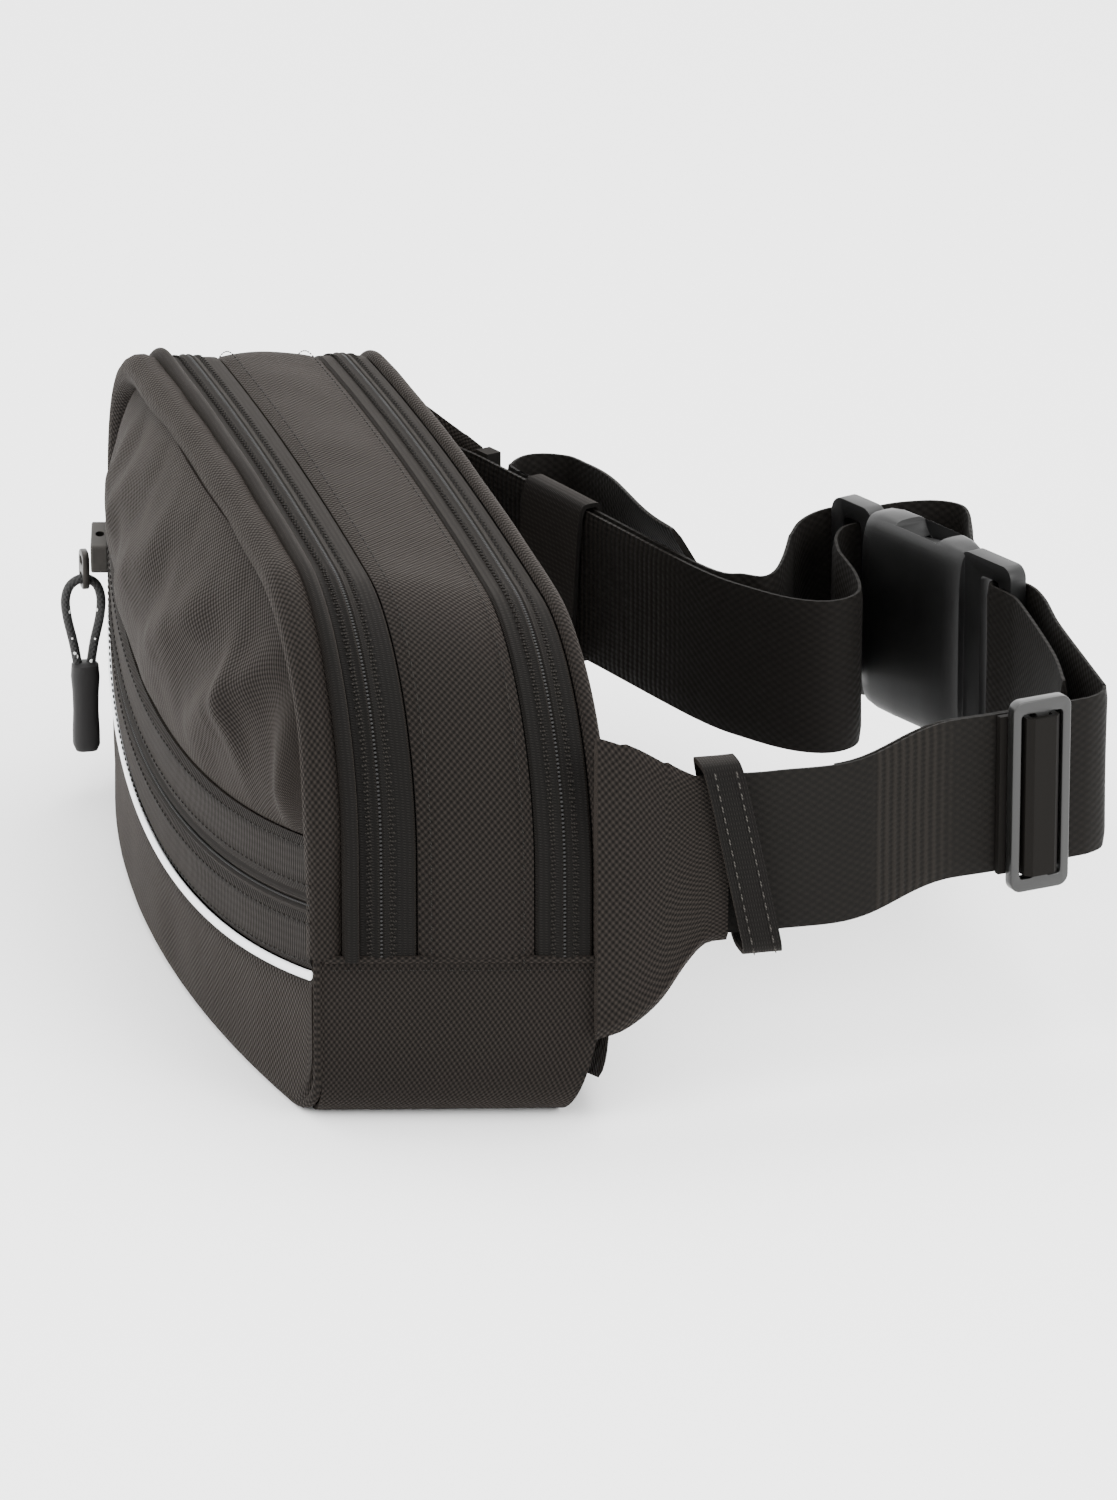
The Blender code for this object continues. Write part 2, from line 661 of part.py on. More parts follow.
def build_buckle_female():
    half, slot_half = buckle_half()
    thick = BUCKLE_THICKNESS / 2
    body = box("buckle_female", (FEMALE_MOUTH_S, -thick, -half), (FEMALE_BODY_END_S, thick, half))
    bevel(body, BUCKLE_BEVEL, 3)
    web, inset = BUCKLE_WEB_THICKNESS / 2, WEB_FRAME_INSET
    frame = box("female_web", (FEMALE_BODY_END_S - BUCKLE_WALL, -web, -half + inset),
                (BUCKLE_END_S, web, half - inset))
    combine(body, frame, "UNION")
    slot = box("female_slot", (BUCKLE_END_S - WEB_BAR - WEB_SLOT, -thick, -slot_half),
               (BUCKLE_END_S - WEB_BAR, thick, slot_half))
    combine(body, slot, "DIFFERENCE")
    cavity = box("female_cavity", (FEMALE_MOUTH_S - GAP, -thick + BUCKLE_WALL, -half + 2 * BUCKLE_WALL),
                 (FEMALE_BODY_END_S - 2 * BUCKLE_WALL, thick - BUCKLE_WALL, half - 2 * BUCKLE_WALL))
    combine(body, cavity, "DIFFERENCE")
    for side in (-1, 1):
        low, high = sorted((side * (half - 3 * BUCKLE_WALL), side * (half + GAP)))
        window = box(f"female_window_{side}", (WINDOW_START_S, -thick + BUCKLE_WALL, low),
                     (WINDOW_END_S, thick - BUCKLE_WALL, high))
        combine(body, window, "DIFFERENCE")
    finish(settle(body, buckle_matrix()), ACETAL)


def build_buckle_male():
    """Web bar, cross piece and guide tongue, with a hinged prong at each side."""
    base = buckle_matrix()
    empty = pivot("buckle_male_pivot", base)
    half, slot_half = buckle_half()
    half -= WEB_FRAME_INSET
    web = BUCKLE_WEB_THICKNESS / 2
    cross_end = FEMALE_MOUTH_S - GAP
    frame = box("buckle_male", (-BUCKLE_END_S, -web, -half), (cross_end, web, half))
    bevel(frame, SOFT_BEVEL)
    slot = box("male_slot", (-BUCKLE_END_S + WEB_BAR, -2 * web, -slot_half),
               (-BUCKLE_END_S + WEB_BAR + WEB_SLOT, 2 * web, slot_half))
    combine(frame, slot, "DIFFERENCE")
    tongue = box("male_tongue", (cross_end - SOFT_BEVEL, -web + GAP, -TONGUE_HEIGHT / 2),
                 (TONGUE_END_S, web - GAP, TONGUE_HEIGHT / 2))
    combine(frame, tongue, "UNION")
    settle(frame)
    frame.parent = empty
    finish(frame, ACETAL)
    loop = [belt_point(*point) for point in BAR_LOOP]
    attach(ribbon("webbing_bar_loop", loop, RIBBON_STEP / 2), empty)
    build_prong("buckle_prong_upper", empty, 1)
    build_prong("buckle_prong_lower", empty, -1)


def build_prong(name, male, side):
    """Sprung arm whose ramped shoulder stands in the female's window."""
    thick = PRONG_THICKNESS / 2
    start = FEMALE_MOUTH_S + GAP
    outer = buckle_half()[0] - 2 * BUCKLE_WALL - GAP
    ramp_start = WINDOW_START_S + 2 * GAP
    ramp_end = PRONG_END_S - 2 * PRONG_RAMP_RISE
    outline = [(start, outer), (ramp_start, outer), (ramp_end, outer + PRONG_RAMP_RISE),
               (PRONG_END_S, outer - PRONG_NOSE_DROP), (PRONG_END_S, outer - PRONG_WIDTH),
               (start, outer - PRONG_WIDTH)]
    origin = Vector((start, 0, side * (outer - PRONG_WIDTH / 2)))
    empty = pivot(name + "_pivot", male.matrix_world @ Matrix.Translation(origin), male)
    sections = [[Vector((s, t, side * z)) - origin for s, z in outline] for t in (-thick, thick)]
    prong = loft(name, sections)
    prong.parent = empty
    finish(prong, ACETAL)


# Zip sliders and pulls

def build_slider(prefix, empty, place):
    """Slider body on the coil: X runs along the zip, Y out of the bag, Z across the zip."""
    long, wide, tall = SLIDER_SIZE.y / 2, SLIDER_SIZE.x / 2, SLIDER_SIZE.z
    body = box(prefix + "_slider", (-long, 0, -wide), (long, tall, wide))
    bevel(body, SMALL_BEVEL)
    hole = cylinder(prefix + "_hole", (0, tall - 2 * SLIDER_HOLE_RADIUS, 0), (0, 0, 1),
                    SLIDER_HOLE_RADIUS, 2 * SLIDER_SIZE.x)
    combine(body, hole, "DIFFERENCE")
    settle(body, place)
    attach(body, empty)
    finish(body, DIECAST, metallic=0.6)


def build_pull(prefix, slider, hang):
    """Tab, cord loop and moulded grip that hang from a slider; Y of the frame points outwards."""
    empty = pivot(prefix + "_pull_pivot", hang, slider)
    wide, thick, long = TAB_SIZE / 2
    tab = box(prefix + "_tab", (-wide, -thick, -2 * long), (wide, thick, -GAP))
    bevel(tab, SMALL_BEVEL)
    eye = cylinder(prefix + "_eye", (0, 0, -TAB_HOLE_DROP), (0, 1, 0), TAB_HOLE_RADIUS, 2 * TAB_SIZE.y)
    combine(tab, eye, "DIFFERENCE")
    settle(tab)
    tab.parent = empty
    finish(tab, DIECAST, metallic=0.6)
    route = smooth_route([Vector((0, y, z)) * MM for y, z in CORD_LOOP], 2 * CORD_DIAMETER)
    cord = tube(prefix + "_cord", route, CORD_DIAMETER / 2)
    cord.parent = empty
    finish(cord, WEBBING)
    wide, thick, long = GRIP_SIZE / 2
    grip = box(prefix + "_grip", (-wide, -thick, -GRIP_DROP - 2 * long), (wide, thick, -GRIP_DROP))
    bevel(grip, SOFT_BEVEL)
    settle(grip)
    grip.parent = empty
    finish(grip, GRIP)


def basis(x_axis, y_axis, z_axis, origin):
    columns = [Vector(x_axis), Vector(y_axis), Vector(z_axis), Vector(origin)]
    rows = [[column[row] for column in columns] for row in range(3)]
    return Matrix(rows + [[0, 0, 0, 1]])


def pocket_arc():
    """Centre and unit axis of the circle that the curved pocket zip follows."""
    lift = PIPING_WIDTH + TAPE_WIDTH + COIL_WIDTH / 2
    half = seam_half_width()
    slope = math.atan(SMILE_TILT / half)
    along = Vector((math.cos(slope), 0, -math.sin(slope)))
    rise = Vector((0, FRONT_BULGE, SMILE_RISE)) * 2 / half ** 2
    radius = 1 / rise.length
    inward = (rise - along * rise.dot(along)).normalized()
    middle = Vector((0, FRONT_Y, smile_z(0.0, lift)))
    return middle + inward * radius, along.cross(inward), along, lift


def build_pocket_slider():
    centre, axis, along, lift = pocket_arc()
    x = POCKET_SLIDER_X
    spot = Vector((x, front_y(x, 0.0), smile_z(x, lift)))
    run = axis.cross(centre - spot).normalized()
    run = run if run.x > 0 else -run
    out = Vector((2 * FRONT_BULGE * x / seam_half_width() ** 2, -1, 0)).normalized()
    across = run.cross(out).normalized()
    out = across.cross(run).normalized()
    empty = pivot("pocket_slider_pivot", basis(along, axis.cross(along), axis, centre))
    build_slider("pocket", empty, basis(run, out, across, spot + out * 2 * GAP))
    hang = Vector((0, -1, 0))
    hook = spot + out * (2 * GAP) + hang * (SLIDER_SIZE.z + GAP + TAB_SIZE.y)
    build_pull("pocket", empty, basis((-1, 0, 0), hang, (0, 0, 1), hook))


def build_main_sliders(depths):
    """A slider at the -X end of each main zip, turning about its shoulder's centre."""
    for prefix, key in (("front_zip", "front_zip"), ("rear_zip", "rear_zip")):
        y = sum(depths[key]) / 2
        x, z = shoulder_centre(y)
        empty = pivot(prefix + "_slider_pivot", Matrix.Translation((-x, y, z)))
        out = (-1, 0, 0)
        edge = -half_width(y) - COIL_RIB - 3 * GAP
        build_slider(prefix, empty, basis((0, 0, 1), out, (0, -1, 0), (edge, y, z)))
        hook = edge - SLIDER_SIZE.z - GAP - TAB_SIZE.y / 2
        build_pull(prefix, empty, basis((0, 1, 0), out, (0, 0, 1), (hook, y, z)))


def main():
    clear_scene()
    depths = bag_depths()
    build_bag_bands(depths)
    build_zip_coils(depths)
    build_back(depths)
    build_divider(depths)
    build_edge_roll(depths)
    build_bottom_gusset(depths)
    build_front(depths)
    build_wings()
    build_webbing()
    build_keepers()
    build_tri_glide()
    build_buckle_female()
    build_buckle_male()
    build_pocket_slider()
    build_main_sliders(depths)
    bpy.context.view_layer.update()


main()
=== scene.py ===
# %% [markdown]
# # Hip bag with a webbing belt
# A soft bag is a set of cloth bands sewn edge to edge, so it is made here the same way: each band is a
# surface swept along the bag's arch, with the seams as grooves between them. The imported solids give
# every place and size, and the pieces below are dressed over them.

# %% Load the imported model
import math

import bmesh
import bpy
from mathutils import Matrix, Vector, noise


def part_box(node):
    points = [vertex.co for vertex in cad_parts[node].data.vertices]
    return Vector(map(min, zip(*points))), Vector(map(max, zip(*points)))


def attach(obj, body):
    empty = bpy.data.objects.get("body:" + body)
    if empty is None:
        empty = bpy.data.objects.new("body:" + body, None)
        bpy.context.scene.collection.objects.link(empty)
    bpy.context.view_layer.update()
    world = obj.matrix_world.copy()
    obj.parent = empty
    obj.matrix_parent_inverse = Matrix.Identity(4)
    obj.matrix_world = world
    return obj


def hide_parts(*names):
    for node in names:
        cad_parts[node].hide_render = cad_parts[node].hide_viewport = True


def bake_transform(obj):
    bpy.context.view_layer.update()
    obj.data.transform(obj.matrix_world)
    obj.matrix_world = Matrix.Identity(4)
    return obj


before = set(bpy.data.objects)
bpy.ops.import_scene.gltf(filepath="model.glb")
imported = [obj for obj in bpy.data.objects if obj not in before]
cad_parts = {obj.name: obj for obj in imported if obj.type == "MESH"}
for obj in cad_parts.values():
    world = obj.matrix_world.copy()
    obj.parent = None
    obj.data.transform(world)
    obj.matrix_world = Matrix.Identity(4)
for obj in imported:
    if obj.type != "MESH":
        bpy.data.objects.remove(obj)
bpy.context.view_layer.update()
MM = 0.001

# %% [markdown]
# ## Camera, floor and light
# A long lens from far off keeps the bag's edges nearly parallel, as a long view does. Cloth this
# dark needs a bright room, so two large soft lamps rake across it and a third lifts the belt.

# %% Camera
CAMERA_PLACE = Vector((2.109, -0.464, 0.830))
CAMERA_TARGET = Vector((-0.00565, 0.03757, 0.03893))
LENS = 233.1


def make_camera():
    data = bpy.data.cameras.new("camera")
    data.lens = LENS
    data.clip_end = 20
    camera = bpy.data.objects.new("camera", data)
    bpy.context.scene.collection.objects.link(camera)
    camera.location = CAMERA_PLACE
    camera.rotation_mode = "QUATERNION"
    camera.rotation_quaternion = (CAMERA_TARGET - CAMERA_PLACE).to_track_quat("-Z", "Y")
    bpy.context.scene.camera = camera
    return camera


make_camera()
print("camera at", tuple(round(v, 3) for v in CAMERA_PLACE))

# %% Floor and lamps
FLOOR_COLOUR = (0.96, 0.96, 0.96)
LAMPS = (("key", (0.75, -0.95, 1.35), 0.9, 8.0), ("side", (1.35, 0.75, 0.85), 0.8, 20.0),
         ("top", (-0.35, 0.25, 1.5), 1.1, 18.0))


def make_floor():
    mesh = bpy.data.meshes.new("floor")
    half = 12.0
    mesh.from_pydata([(-half, -half, 0), (half, -half, 0), (half, half, 0), (-half, half, 0)], [],
                     [(0, 1, 2, 3)])
    floor = bpy.data.objects.new("floor", mesh)
    bpy.context.scene.collection.objects.link(floor)
    material = bpy.data.materials.new("pale_floor")
    material.use_nodes = True
    shader = material.node_tree.nodes["Principled BSDF"]
    shader.inputs["Base Color"].default_value = (*FLOOR_COLOUR, 1)
    shader.inputs["Roughness"].default_value = 0.9
    shader.inputs["Specular IOR Level"].default_value = 0.1
    mesh.materials.append(material)


def make_lamps():
    target = Vector((0, 0.03, 0.06))
    for name, place, size, power in LAMPS:
        data = bpy.data.lights.new(name, "AREA")
        data.size = size
        data.energy = power
        lamp = bpy.data.objects.new(name, data)
        bpy.context.scene.collection.objects.link(lamp)
        lamp.location = place
        lamp.rotation_mode = "QUATERNION"
        lamp.rotation_quaternion = (target - Vector(place)).to_track_quat("-Z", "Y")
    world = bpy.data.worlds.new("room")
    world.use_nodes = True
    world.node_tree.nodes["Background"].inputs["Color"].default_value = (0.93, 0.93, 0.93, 1)
    world.node_tree.nodes["Background"].inputs["Strength"].default_value = 3.3
    bpy.context.scene.world = world


make_floor()
make_lamps()
print("lamps:", len(LAMPS))

# %% [markdown]
# ## Node groups for cloth and plastic
# Woven cloth is threads going over and under. Two sine waves multiplied give a bead at each crossing,
# and one wave alone gives the ribs of a grosgrain tape, so one group with a share between them makes
# every cloth here. A second group gives the slow changes of shade that handling and dye leave.

# %% Small helpers for node trees


def new_group(name, inputs, outputs):
    """A shader group with named sockets; inputs are (name, type, default)."""
    tree = bpy.data.node_groups.new(name, "ShaderNodeTree")
    for label, kind, default in inputs:
        socket = tree.interface.new_socket(label, in_out="INPUT", socket_type="NodeSocket" + kind)
        if default is not None:
            socket.default_value = default
    for label, kind in outputs:
        tree.interface.new_socket(label, in_out="OUTPUT", socket_type="NodeSocket" + kind)
    return tree, tree.nodes.new("NodeGroupInput"), tree.nodes.new("NodeGroupOutput")


def math_node(tree, operation, first, second=None, third=None):
    """A Math node whose inputs are sockets or numbers; returns its output."""
    node = tree.nodes.new("ShaderNodeMath")
    node.operation = operation
    for index, value in enumerate((first, second, third)):
        if value is None:
            continue
        if isinstance(value, (int, float)):
            node.inputs[index].default_value = value
        else:
            tree.links.new(value, node.inputs[index])
    return node.outputs[0]


# %% The weave group
def make_weave_group():
    tree, source, result = new_group(
        "weave",
        [("Vector", "Vector", None), ("Pitch Along", "Float", 0.0009), ("Pitch Across", "Float", 0.0009),
         ("Rib Share", "Float", 0.0), ("Unevenness", "Float", 0.3)],
        [("Height", "Float"), ("Shade", "Float")])
    wobble = tree.nodes.new("ShaderNodeTexNoise")
    wobble.inputs["Scale"].default_value = 160.0
    wobble.inputs["Detail"].default_value = 1.0
    tree.links.new(source.outputs["Vector"], wobble.inputs["Vector"])
    shift = math_node(tree, "MULTIPLY", math_node(tree, "SUBTRACT", wobble.outputs["Fac"], 0.5),
                      source.outputs["Unevenness"])
    split = tree.nodes.new("ShaderNodeSeparateXYZ")
    tree.links.new(source.outputs["Vector"], split.inputs[0])
    waves = []
    for axis, pitch in (("X", "Pitch Along"), ("Y", "Pitch Across")):
        turns = math_node(tree, "DIVIDE", split.outputs[axis], source.outputs[pitch])
        turns = math_node(tree, "ADD", turns, shift)
        waves.append(math_node(tree, "SINE", math_node(tree, "MULTIPLY", turns, 2 * math.pi)))
    bead = math_node(tree, "MULTIPLY_ADD", math_node(tree, "MULTIPLY", *waves), 0.5, 0.5)
    rib = math_node(tree, "MULTIPLY_ADD", waves[0], 0.5, 0.5)
    fine = math_node(tree, "MULTIPLY", math_node(tree, "MULTIPLY_ADD", waves[1], 0.5, 0.5), 0.25)
    rib = math_node(tree, "ADD", math_node(tree, "MULTIPLY", rib, 0.75), fine)
    mix = tree.nodes.new("ShaderNodeMix")
    tree.links.new(source.outputs["Rib Share"], mix.inputs[0])
    tree.links.new(bead, mix.inputs[2])
    tree.links.new(rib, mix.inputs[3])
    grain = tree.nodes.new("ShaderNodeTexNoise")
    grain.inputs["Scale"].default_value = 900.0
    tree.links.new(source.outputs["Vector"], grain.inputs["Vector"])
    height = math_node(tree, "ADD", mix.outputs[0], math_node(tree, "MULTIPLY", grain.outputs["Fac"], 0.3))
    tree.links.new(height, result.inputs["Height"])
    # Shade is painted shade in the weave's gaps and painted highlight on its crossings.
    tree.links.new(math_node(tree, "POWER", mix.outputs[0], 1.4), result.inputs["Shade"])
    return tree


WEAVE = make_weave_group()
print("group:", WEAVE.name)


# %% The handling group
def make_handling_group():
    """Slow patches of shade, with a few pale specks of lint."""
    tree, source, result = new_group(
        "handling", [("Vector", "Vector", None), ("Patch Scale", "Float", 14.0), ("Lint", "Float", 0.5)],
        [("Patch", "Float"), ("Specks", "Float")])
    patch = tree.nodes.new("ShaderNodeTexNoise")
    patch.inputs["Detail"].default_value = 3.0
    tree.links.new(source.outputs["Vector"], patch.inputs["Vector"])
    tree.links.new(source.outputs["Patch Scale"], patch.inputs["Scale"])
    tree.links.new(patch.outputs["Fac"], result.inputs["Patch"])
    speck = tree.nodes.new("ShaderNodeTexNoise")
    speck.inputs["Scale"].default_value = 700.0
    speck.inputs["Detail"].default_value = 0.0
    tree.links.new(source.outputs["Vector"], speck.inputs["Vector"])
    sharp = math_node(tree, "MULTIPLY", math_node(tree, "SUBTRACT", speck.outputs["Fac"], 0.80), 9.0)
    clean = tree.nodes.new("ShaderNodeClamp")
    tree.links.new(math_node(tree, "MULTIPLY", sharp, source.outputs["Lint"]), clean.inputs[0])
    tree.links.new(clean.outputs[0], result.inputs["Specks"])
    return tree


HANDLING = make_handling_group()
print("group:", HANDLING.name)

# %% [markdown]
# ## Materials
# Every cloth is one recipe with its own pitch and shade: the weave's height drives a bump, its
# crossings are painted lighter as painted highlight and its gaps darker as painted shade, and a soft
# sheen gives the brownish bloom that dark nylon has at a glancing angle. Hard parts use fine grain for
# moulded plastic and a satin coat for cast metal.

# %% Material helpers
UV_NAME = "cloth"


def new_material(name, roughness, metallic=0.0):
    material = bpy.data.materials.new(name)
    material.use_nodes = True
    tree = material.node_tree
    shader = tree.nodes["Principled BSDF"]
    shader.inputs["Roughness"].default_value = roughness
    shader.inputs["Metallic"].default_value = metallic
    return material, tree, shader


def place_group(tree, group, vector, **values):
    node = tree.nodes.new("ShaderNodeGroup")
    node.node_tree = group
    tree.links.new(vector, node.inputs["Vector"])
    for label, value in values.items():
        node.inputs[label.replace("_", " ")].default_value = value
    return node


def ramp(tree, factor, dark, light):
    """Mixes two colours by a factor."""
    node = tree.nodes.new("ShaderNodeMix")
    node.data_type = "RGBA"
    node.inputs[6].default_value = (*dark, 1)
    node.inputs[7].default_value = (*light, 1)
    tree.links.new(factor, node.inputs[0])
    return node.outputs[2]


def bump(tree, shader, height, depth, strength=1.0):
    node = tree.nodes.new("ShaderNodeBump")
    node.inputs["Distance"].default_value = depth
    node.inputs["Strength"].default_value = strength
    tree.links.new(height, node.inputs["Height"])
    tree.links.new(node.outputs[0], shader.inputs["Normal"])


# %% The cloth recipe
def make_cloth(name, dark, light, along, across, rib=0.0, depth=0.12 * MM, uneven=0.25, sheen=0.05,
               lint=0.12):
    material, tree, shader = new_material(name, 0.82)
    shader.inputs["Sheen Weight"].default_value = sheen
    shader.inputs["Sheen Roughness"].default_value = 0.45
    shader.inputs["Sheen Tint"].default_value = (0.62, 0.50, 0.42, 1)
    shader.inputs["Specular IOR Level"].default_value = 0.09
    uv = tree.nodes.new("ShaderNodeUVMap")
    uv.uv_map = UV_NAME
    weave = place_group(tree, WEAVE, uv.outputs[0], Pitch_Along=along, Pitch_Across=across,
                        Rib_Share=rib, Unevenness=uneven)
    place = tree.nodes.new("ShaderNodeTexCoord")
    handling = place_group(tree, HANDLING, place.outputs["Object"], Lint=lint)
    lift = math_node(tree, "MULTIPLY_ADD", handling.outputs["Patch"], 0.5, 0.75)
    shade = math_node(tree, "MULTIPLY", weave.outputs["Shade"], lift)
    shade = math_node(tree, "ADD", shade, handling.outputs["Specks"])
    # Base colour: painted shade in the weave's gaps and painted highlight on its crossings, times random
    # handling patches, plus lint specks.
    tree.links.new(ramp(tree, shade, dark, light), shader.inputs["Base Color"])
    tree.links.new(math_node(tree, "MULTIPLY_ADD", weave.outputs["Shade"], -0.14, 0.88),
                   shader.inputs["Roughness"])
    bump(tree, shader, weave.outputs["Height"], depth)
    return material


PACK_CLOTH = make_cloth("pack_cloth", (0.0012, 0.0009, 0.0007), (0.0150, 0.0120, 0.0100), 1.70 * MM,
                        1.45 * MM, depth=0.26 * MM, uneven=0.12)
TAPE_CLOTH = make_cloth("zip_tape", (0.0010, 0.0009, 0.0008), (0.0060, 0.0053, 0.0046), 0.62 * MM,
                        1.2 * MM, rib=0.55, depth=0.10 * MM)
GROSGRAIN = make_cloth("grosgrain", (0.0007, 0.0006, 0.0005), (0.0070, 0.0062, 0.0055), 1.05 * MM,
                       1.9 * MM, rib=0.9, depth=0.20 * MM, uneven=0.10)
BACK_MESH = make_cloth("back_mesh", (0.004, 0.004, 0.004), (0.026, 0.025, 0.024), 3.4 * MM, 3.0 * MM,
                       depth=0.7 * MM, uneven=0.10)
LINING = make_cloth("lining", (0.04, 0.04, 0.04), (0.10, 0.10, 0.10), 0.5 * MM, 0.5 * MM,
                    depth=0.04 * MM)
print("cloths:", 5)


# %% [markdown]
# ## Belt webbing
# One strap shows two faces of its weave: fine lengthwise ribs, and stretches of coarse cross ribs. A
# value painted along the strap's length says which, so the two fade into each other on one piece. The
# cross-ribbed stretches are also painted lighter, as painted light that lifts the far strap where it
# lies in the bag's shade.

# %% Webbing material
RIB_NAME = "ribbed"


def make_webbing_cloth(name, dark, light):
    material, tree, shader = new_material(name, 0.72)
    shader.inputs["Specular IOR Level"].default_value = 0.08
    uv = tree.nodes.new("ShaderNodeUVMap")
    uv.uv_map = UV_NAME
    fine = place_group(tree, WEAVE, uv.outputs[0], Pitch_Along=3.1 * MM, Pitch_Across=1.9 * MM,
                       Rib_Share=0.0, Unevenness=0.08)
    cross = place_group(tree, WEAVE, uv.outputs[0], Pitch_Along=2.1 * MM, Pitch_Across=1.3 * MM,
                        Rib_Share=1.0, Unevenness=0.03)
    painted = tree.nodes.new("ShaderNodeAttribute")
    painted.attribute_name = RIB_NAME
    share = painted.outputs["Fac"]
    heights = tree.nodes.new("ShaderNodeMix")
    tree.links.new(share, heights.inputs[0])
    tree.links.new(math_node(tree, "MULTIPLY", fine.outputs["Height"], 0.3), heights.inputs[2])
    tree.links.new(cross.outputs["Height"], heights.inputs[3])
    # Painted shade in the rib gaps of both weaves; the cross ribs are real, and their brighter mapping
    # (x1.5 + 0.3) is painted light that lifts the far strap out of the bag's shade.
    rib_shade_and_lift = tree.nodes.new("ShaderNodeMix")
    tree.links.new(share, rib_shade_and_lift.inputs[0])
    tree.links.new(math_node(tree, "MULTIPLY_ADD", fine.outputs["Shade"], 0.35, 0.25), rib_shade_and_lift.inputs[2])
    tree.links.new(math_node(tree, "MULTIPLY_ADD", cross.outputs["Shade"], 1.5, 0.3), rib_shade_and_lift.inputs[3])
    place = tree.nodes.new("ShaderNodeTexCoord")
    handling = place_group(tree, HANDLING, place.outputs["Object"], Patch_Scale=22.0, Lint=0.06)
    lift = math_node(tree, "MULTIPLY_ADD", handling.outputs["Patch"], 0.6, 0.7)
    shade = math_node(tree, "ADD", math_node(tree, "MULTIPLY", rib_shade_and_lift.outputs[0], lift),
                      handling.outputs["Specks"])
    tree.links.new(ramp(tree, shade, dark, light), shader.inputs["Base Color"])
    bump(tree, shader, heights.outputs[0], 0.42 * MM)
    return material


WEBBING = make_webbing_cloth("webbing", (0.0011, 0.0010, 0.0008), (0.0085, 0.0072, 0.0060))
print("webbing")


# %% Hard finishes
def make_plastic(name, colour, roughness, grain=0.03 * MM, coat=0.0):
    """Moulded plastic: fine sparks in the mould, and slightly duller where it is handled."""
    material, tree, shader = new_material(name, roughness)
    shader.inputs["Coat Weight"].default_value = coat
    shader.inputs["Specular IOR Level"].default_value = 0.3
    shader.inputs["Coat Roughness"].default_value = 0.25
    place = tree.nodes.new("ShaderNodeTexCoord")
    handling = place_group(tree, HANDLING, place.outputs["Object"], Patch_Scale=60.0, Lint=0.0)
    light = tuple(3.0 * c for c in colour)
    tint = math_node(tree, "MULTIPLY", handling.outputs["Patch"], 0.4)
    tree.links.new(ramp(tree, tint, colour, light), shader.inputs["Base Color"])
    tree.links.new(math_node(tree, "MULTIPLY_ADD", handling.outputs["Patch"], 0.25, roughness - 0.1),
                   shader.inputs["Roughness"])
    sparks = tree.nodes.new("ShaderNodeTexNoise")
    sparks.inputs["Scale"].default_value = 2600.0
    tree.links.new(place.outputs["Object"], sparks.inputs["Vector"])
    bump(tree, shader, sparks.outputs["Fac"], grain, 0.5)
    return material


def make_metal(name, colour, roughness):
    """Painted die-cast metal with a worn, satin skin."""
    material, tree, shader = new_material(name, roughness, 0.85)
    place = tree.nodes.new("ShaderNodeTexCoord")
    handling = place_group(tree, HANDLING, place.outputs["Object"], Patch_Scale=240.0, Lint=1.0)
    light = tuple(4.0 * c for c in colour)
    tree.links.new(ramp(tree, handling.outputs["Patch"], colour, light), shader.inputs["Base Color"])
    tree.links.new(math_node(tree, "MULTIPLY_ADD", handling.outputs["Patch"], 0.3, roughness - 0.12),
                   shader.inputs["Roughness"])
    bump(tree, shader, handling.outputs["Patch"], 0.05 * MM, 0.4)
    return material


def make_thread(name, dark, light):
    """Twisted sewing thread: slanted bands along the stitch, painted dark and light as painted shade and
    painted highlight on its twist.
    """
    material, tree, shader = new_material(name, 0.75)
    shader.inputs["Specular IOR Level"].default_value = 0.1
    place = tree.nodes.new("ShaderNodeTexCoord")
    twist = tree.nodes.new("ShaderNodeTexWave")
    twist.bands_direction = "DIAGONAL"
    twist.inputs["Scale"].default_value = 900.0
    twist.inputs["Distortion"].default_value = 1.0
    tree.links.new(place.outputs["Object"], twist.inputs["Vector"])
    # Painted shade and painted highlight in slanted bands along the twist.
    tree.links.new(ramp(tree, twist.outputs["Fac"], dark, light), shader.inputs["Base Color"])
    bump(tree, shader, twist.outputs["Fac"], 0.05 * MM, 0.6)
    return material


def make_reflective(name):
    """Glass-bead film: pale grey with a pearly, slightly grainy surface."""
    material, tree, shader = new_material(name, 0.38)
    place = tree.nodes.new("ShaderNodeTexCoord")
    handling = place_group(tree, HANDLING, place.outputs["Object"], Patch_Scale=90.0, Lint=0.0)
    tree.links.new(ramp(tree, handling.outputs["Patch"], (0.70, 0.72, 0.74), (0.92, 0.93, 0.94)),
                   shader.inputs["Base Color"])
    beads = tree.nodes.new("ShaderNodeTexVoronoi")
    beads.inputs["Scale"].default_value = 2200.0
    tree.links.new(place.outputs["Object"], beads.inputs["Vector"])
    bump(tree, shader, beads.outputs["Distance"], 0.03 * MM, 0.4)
    return material


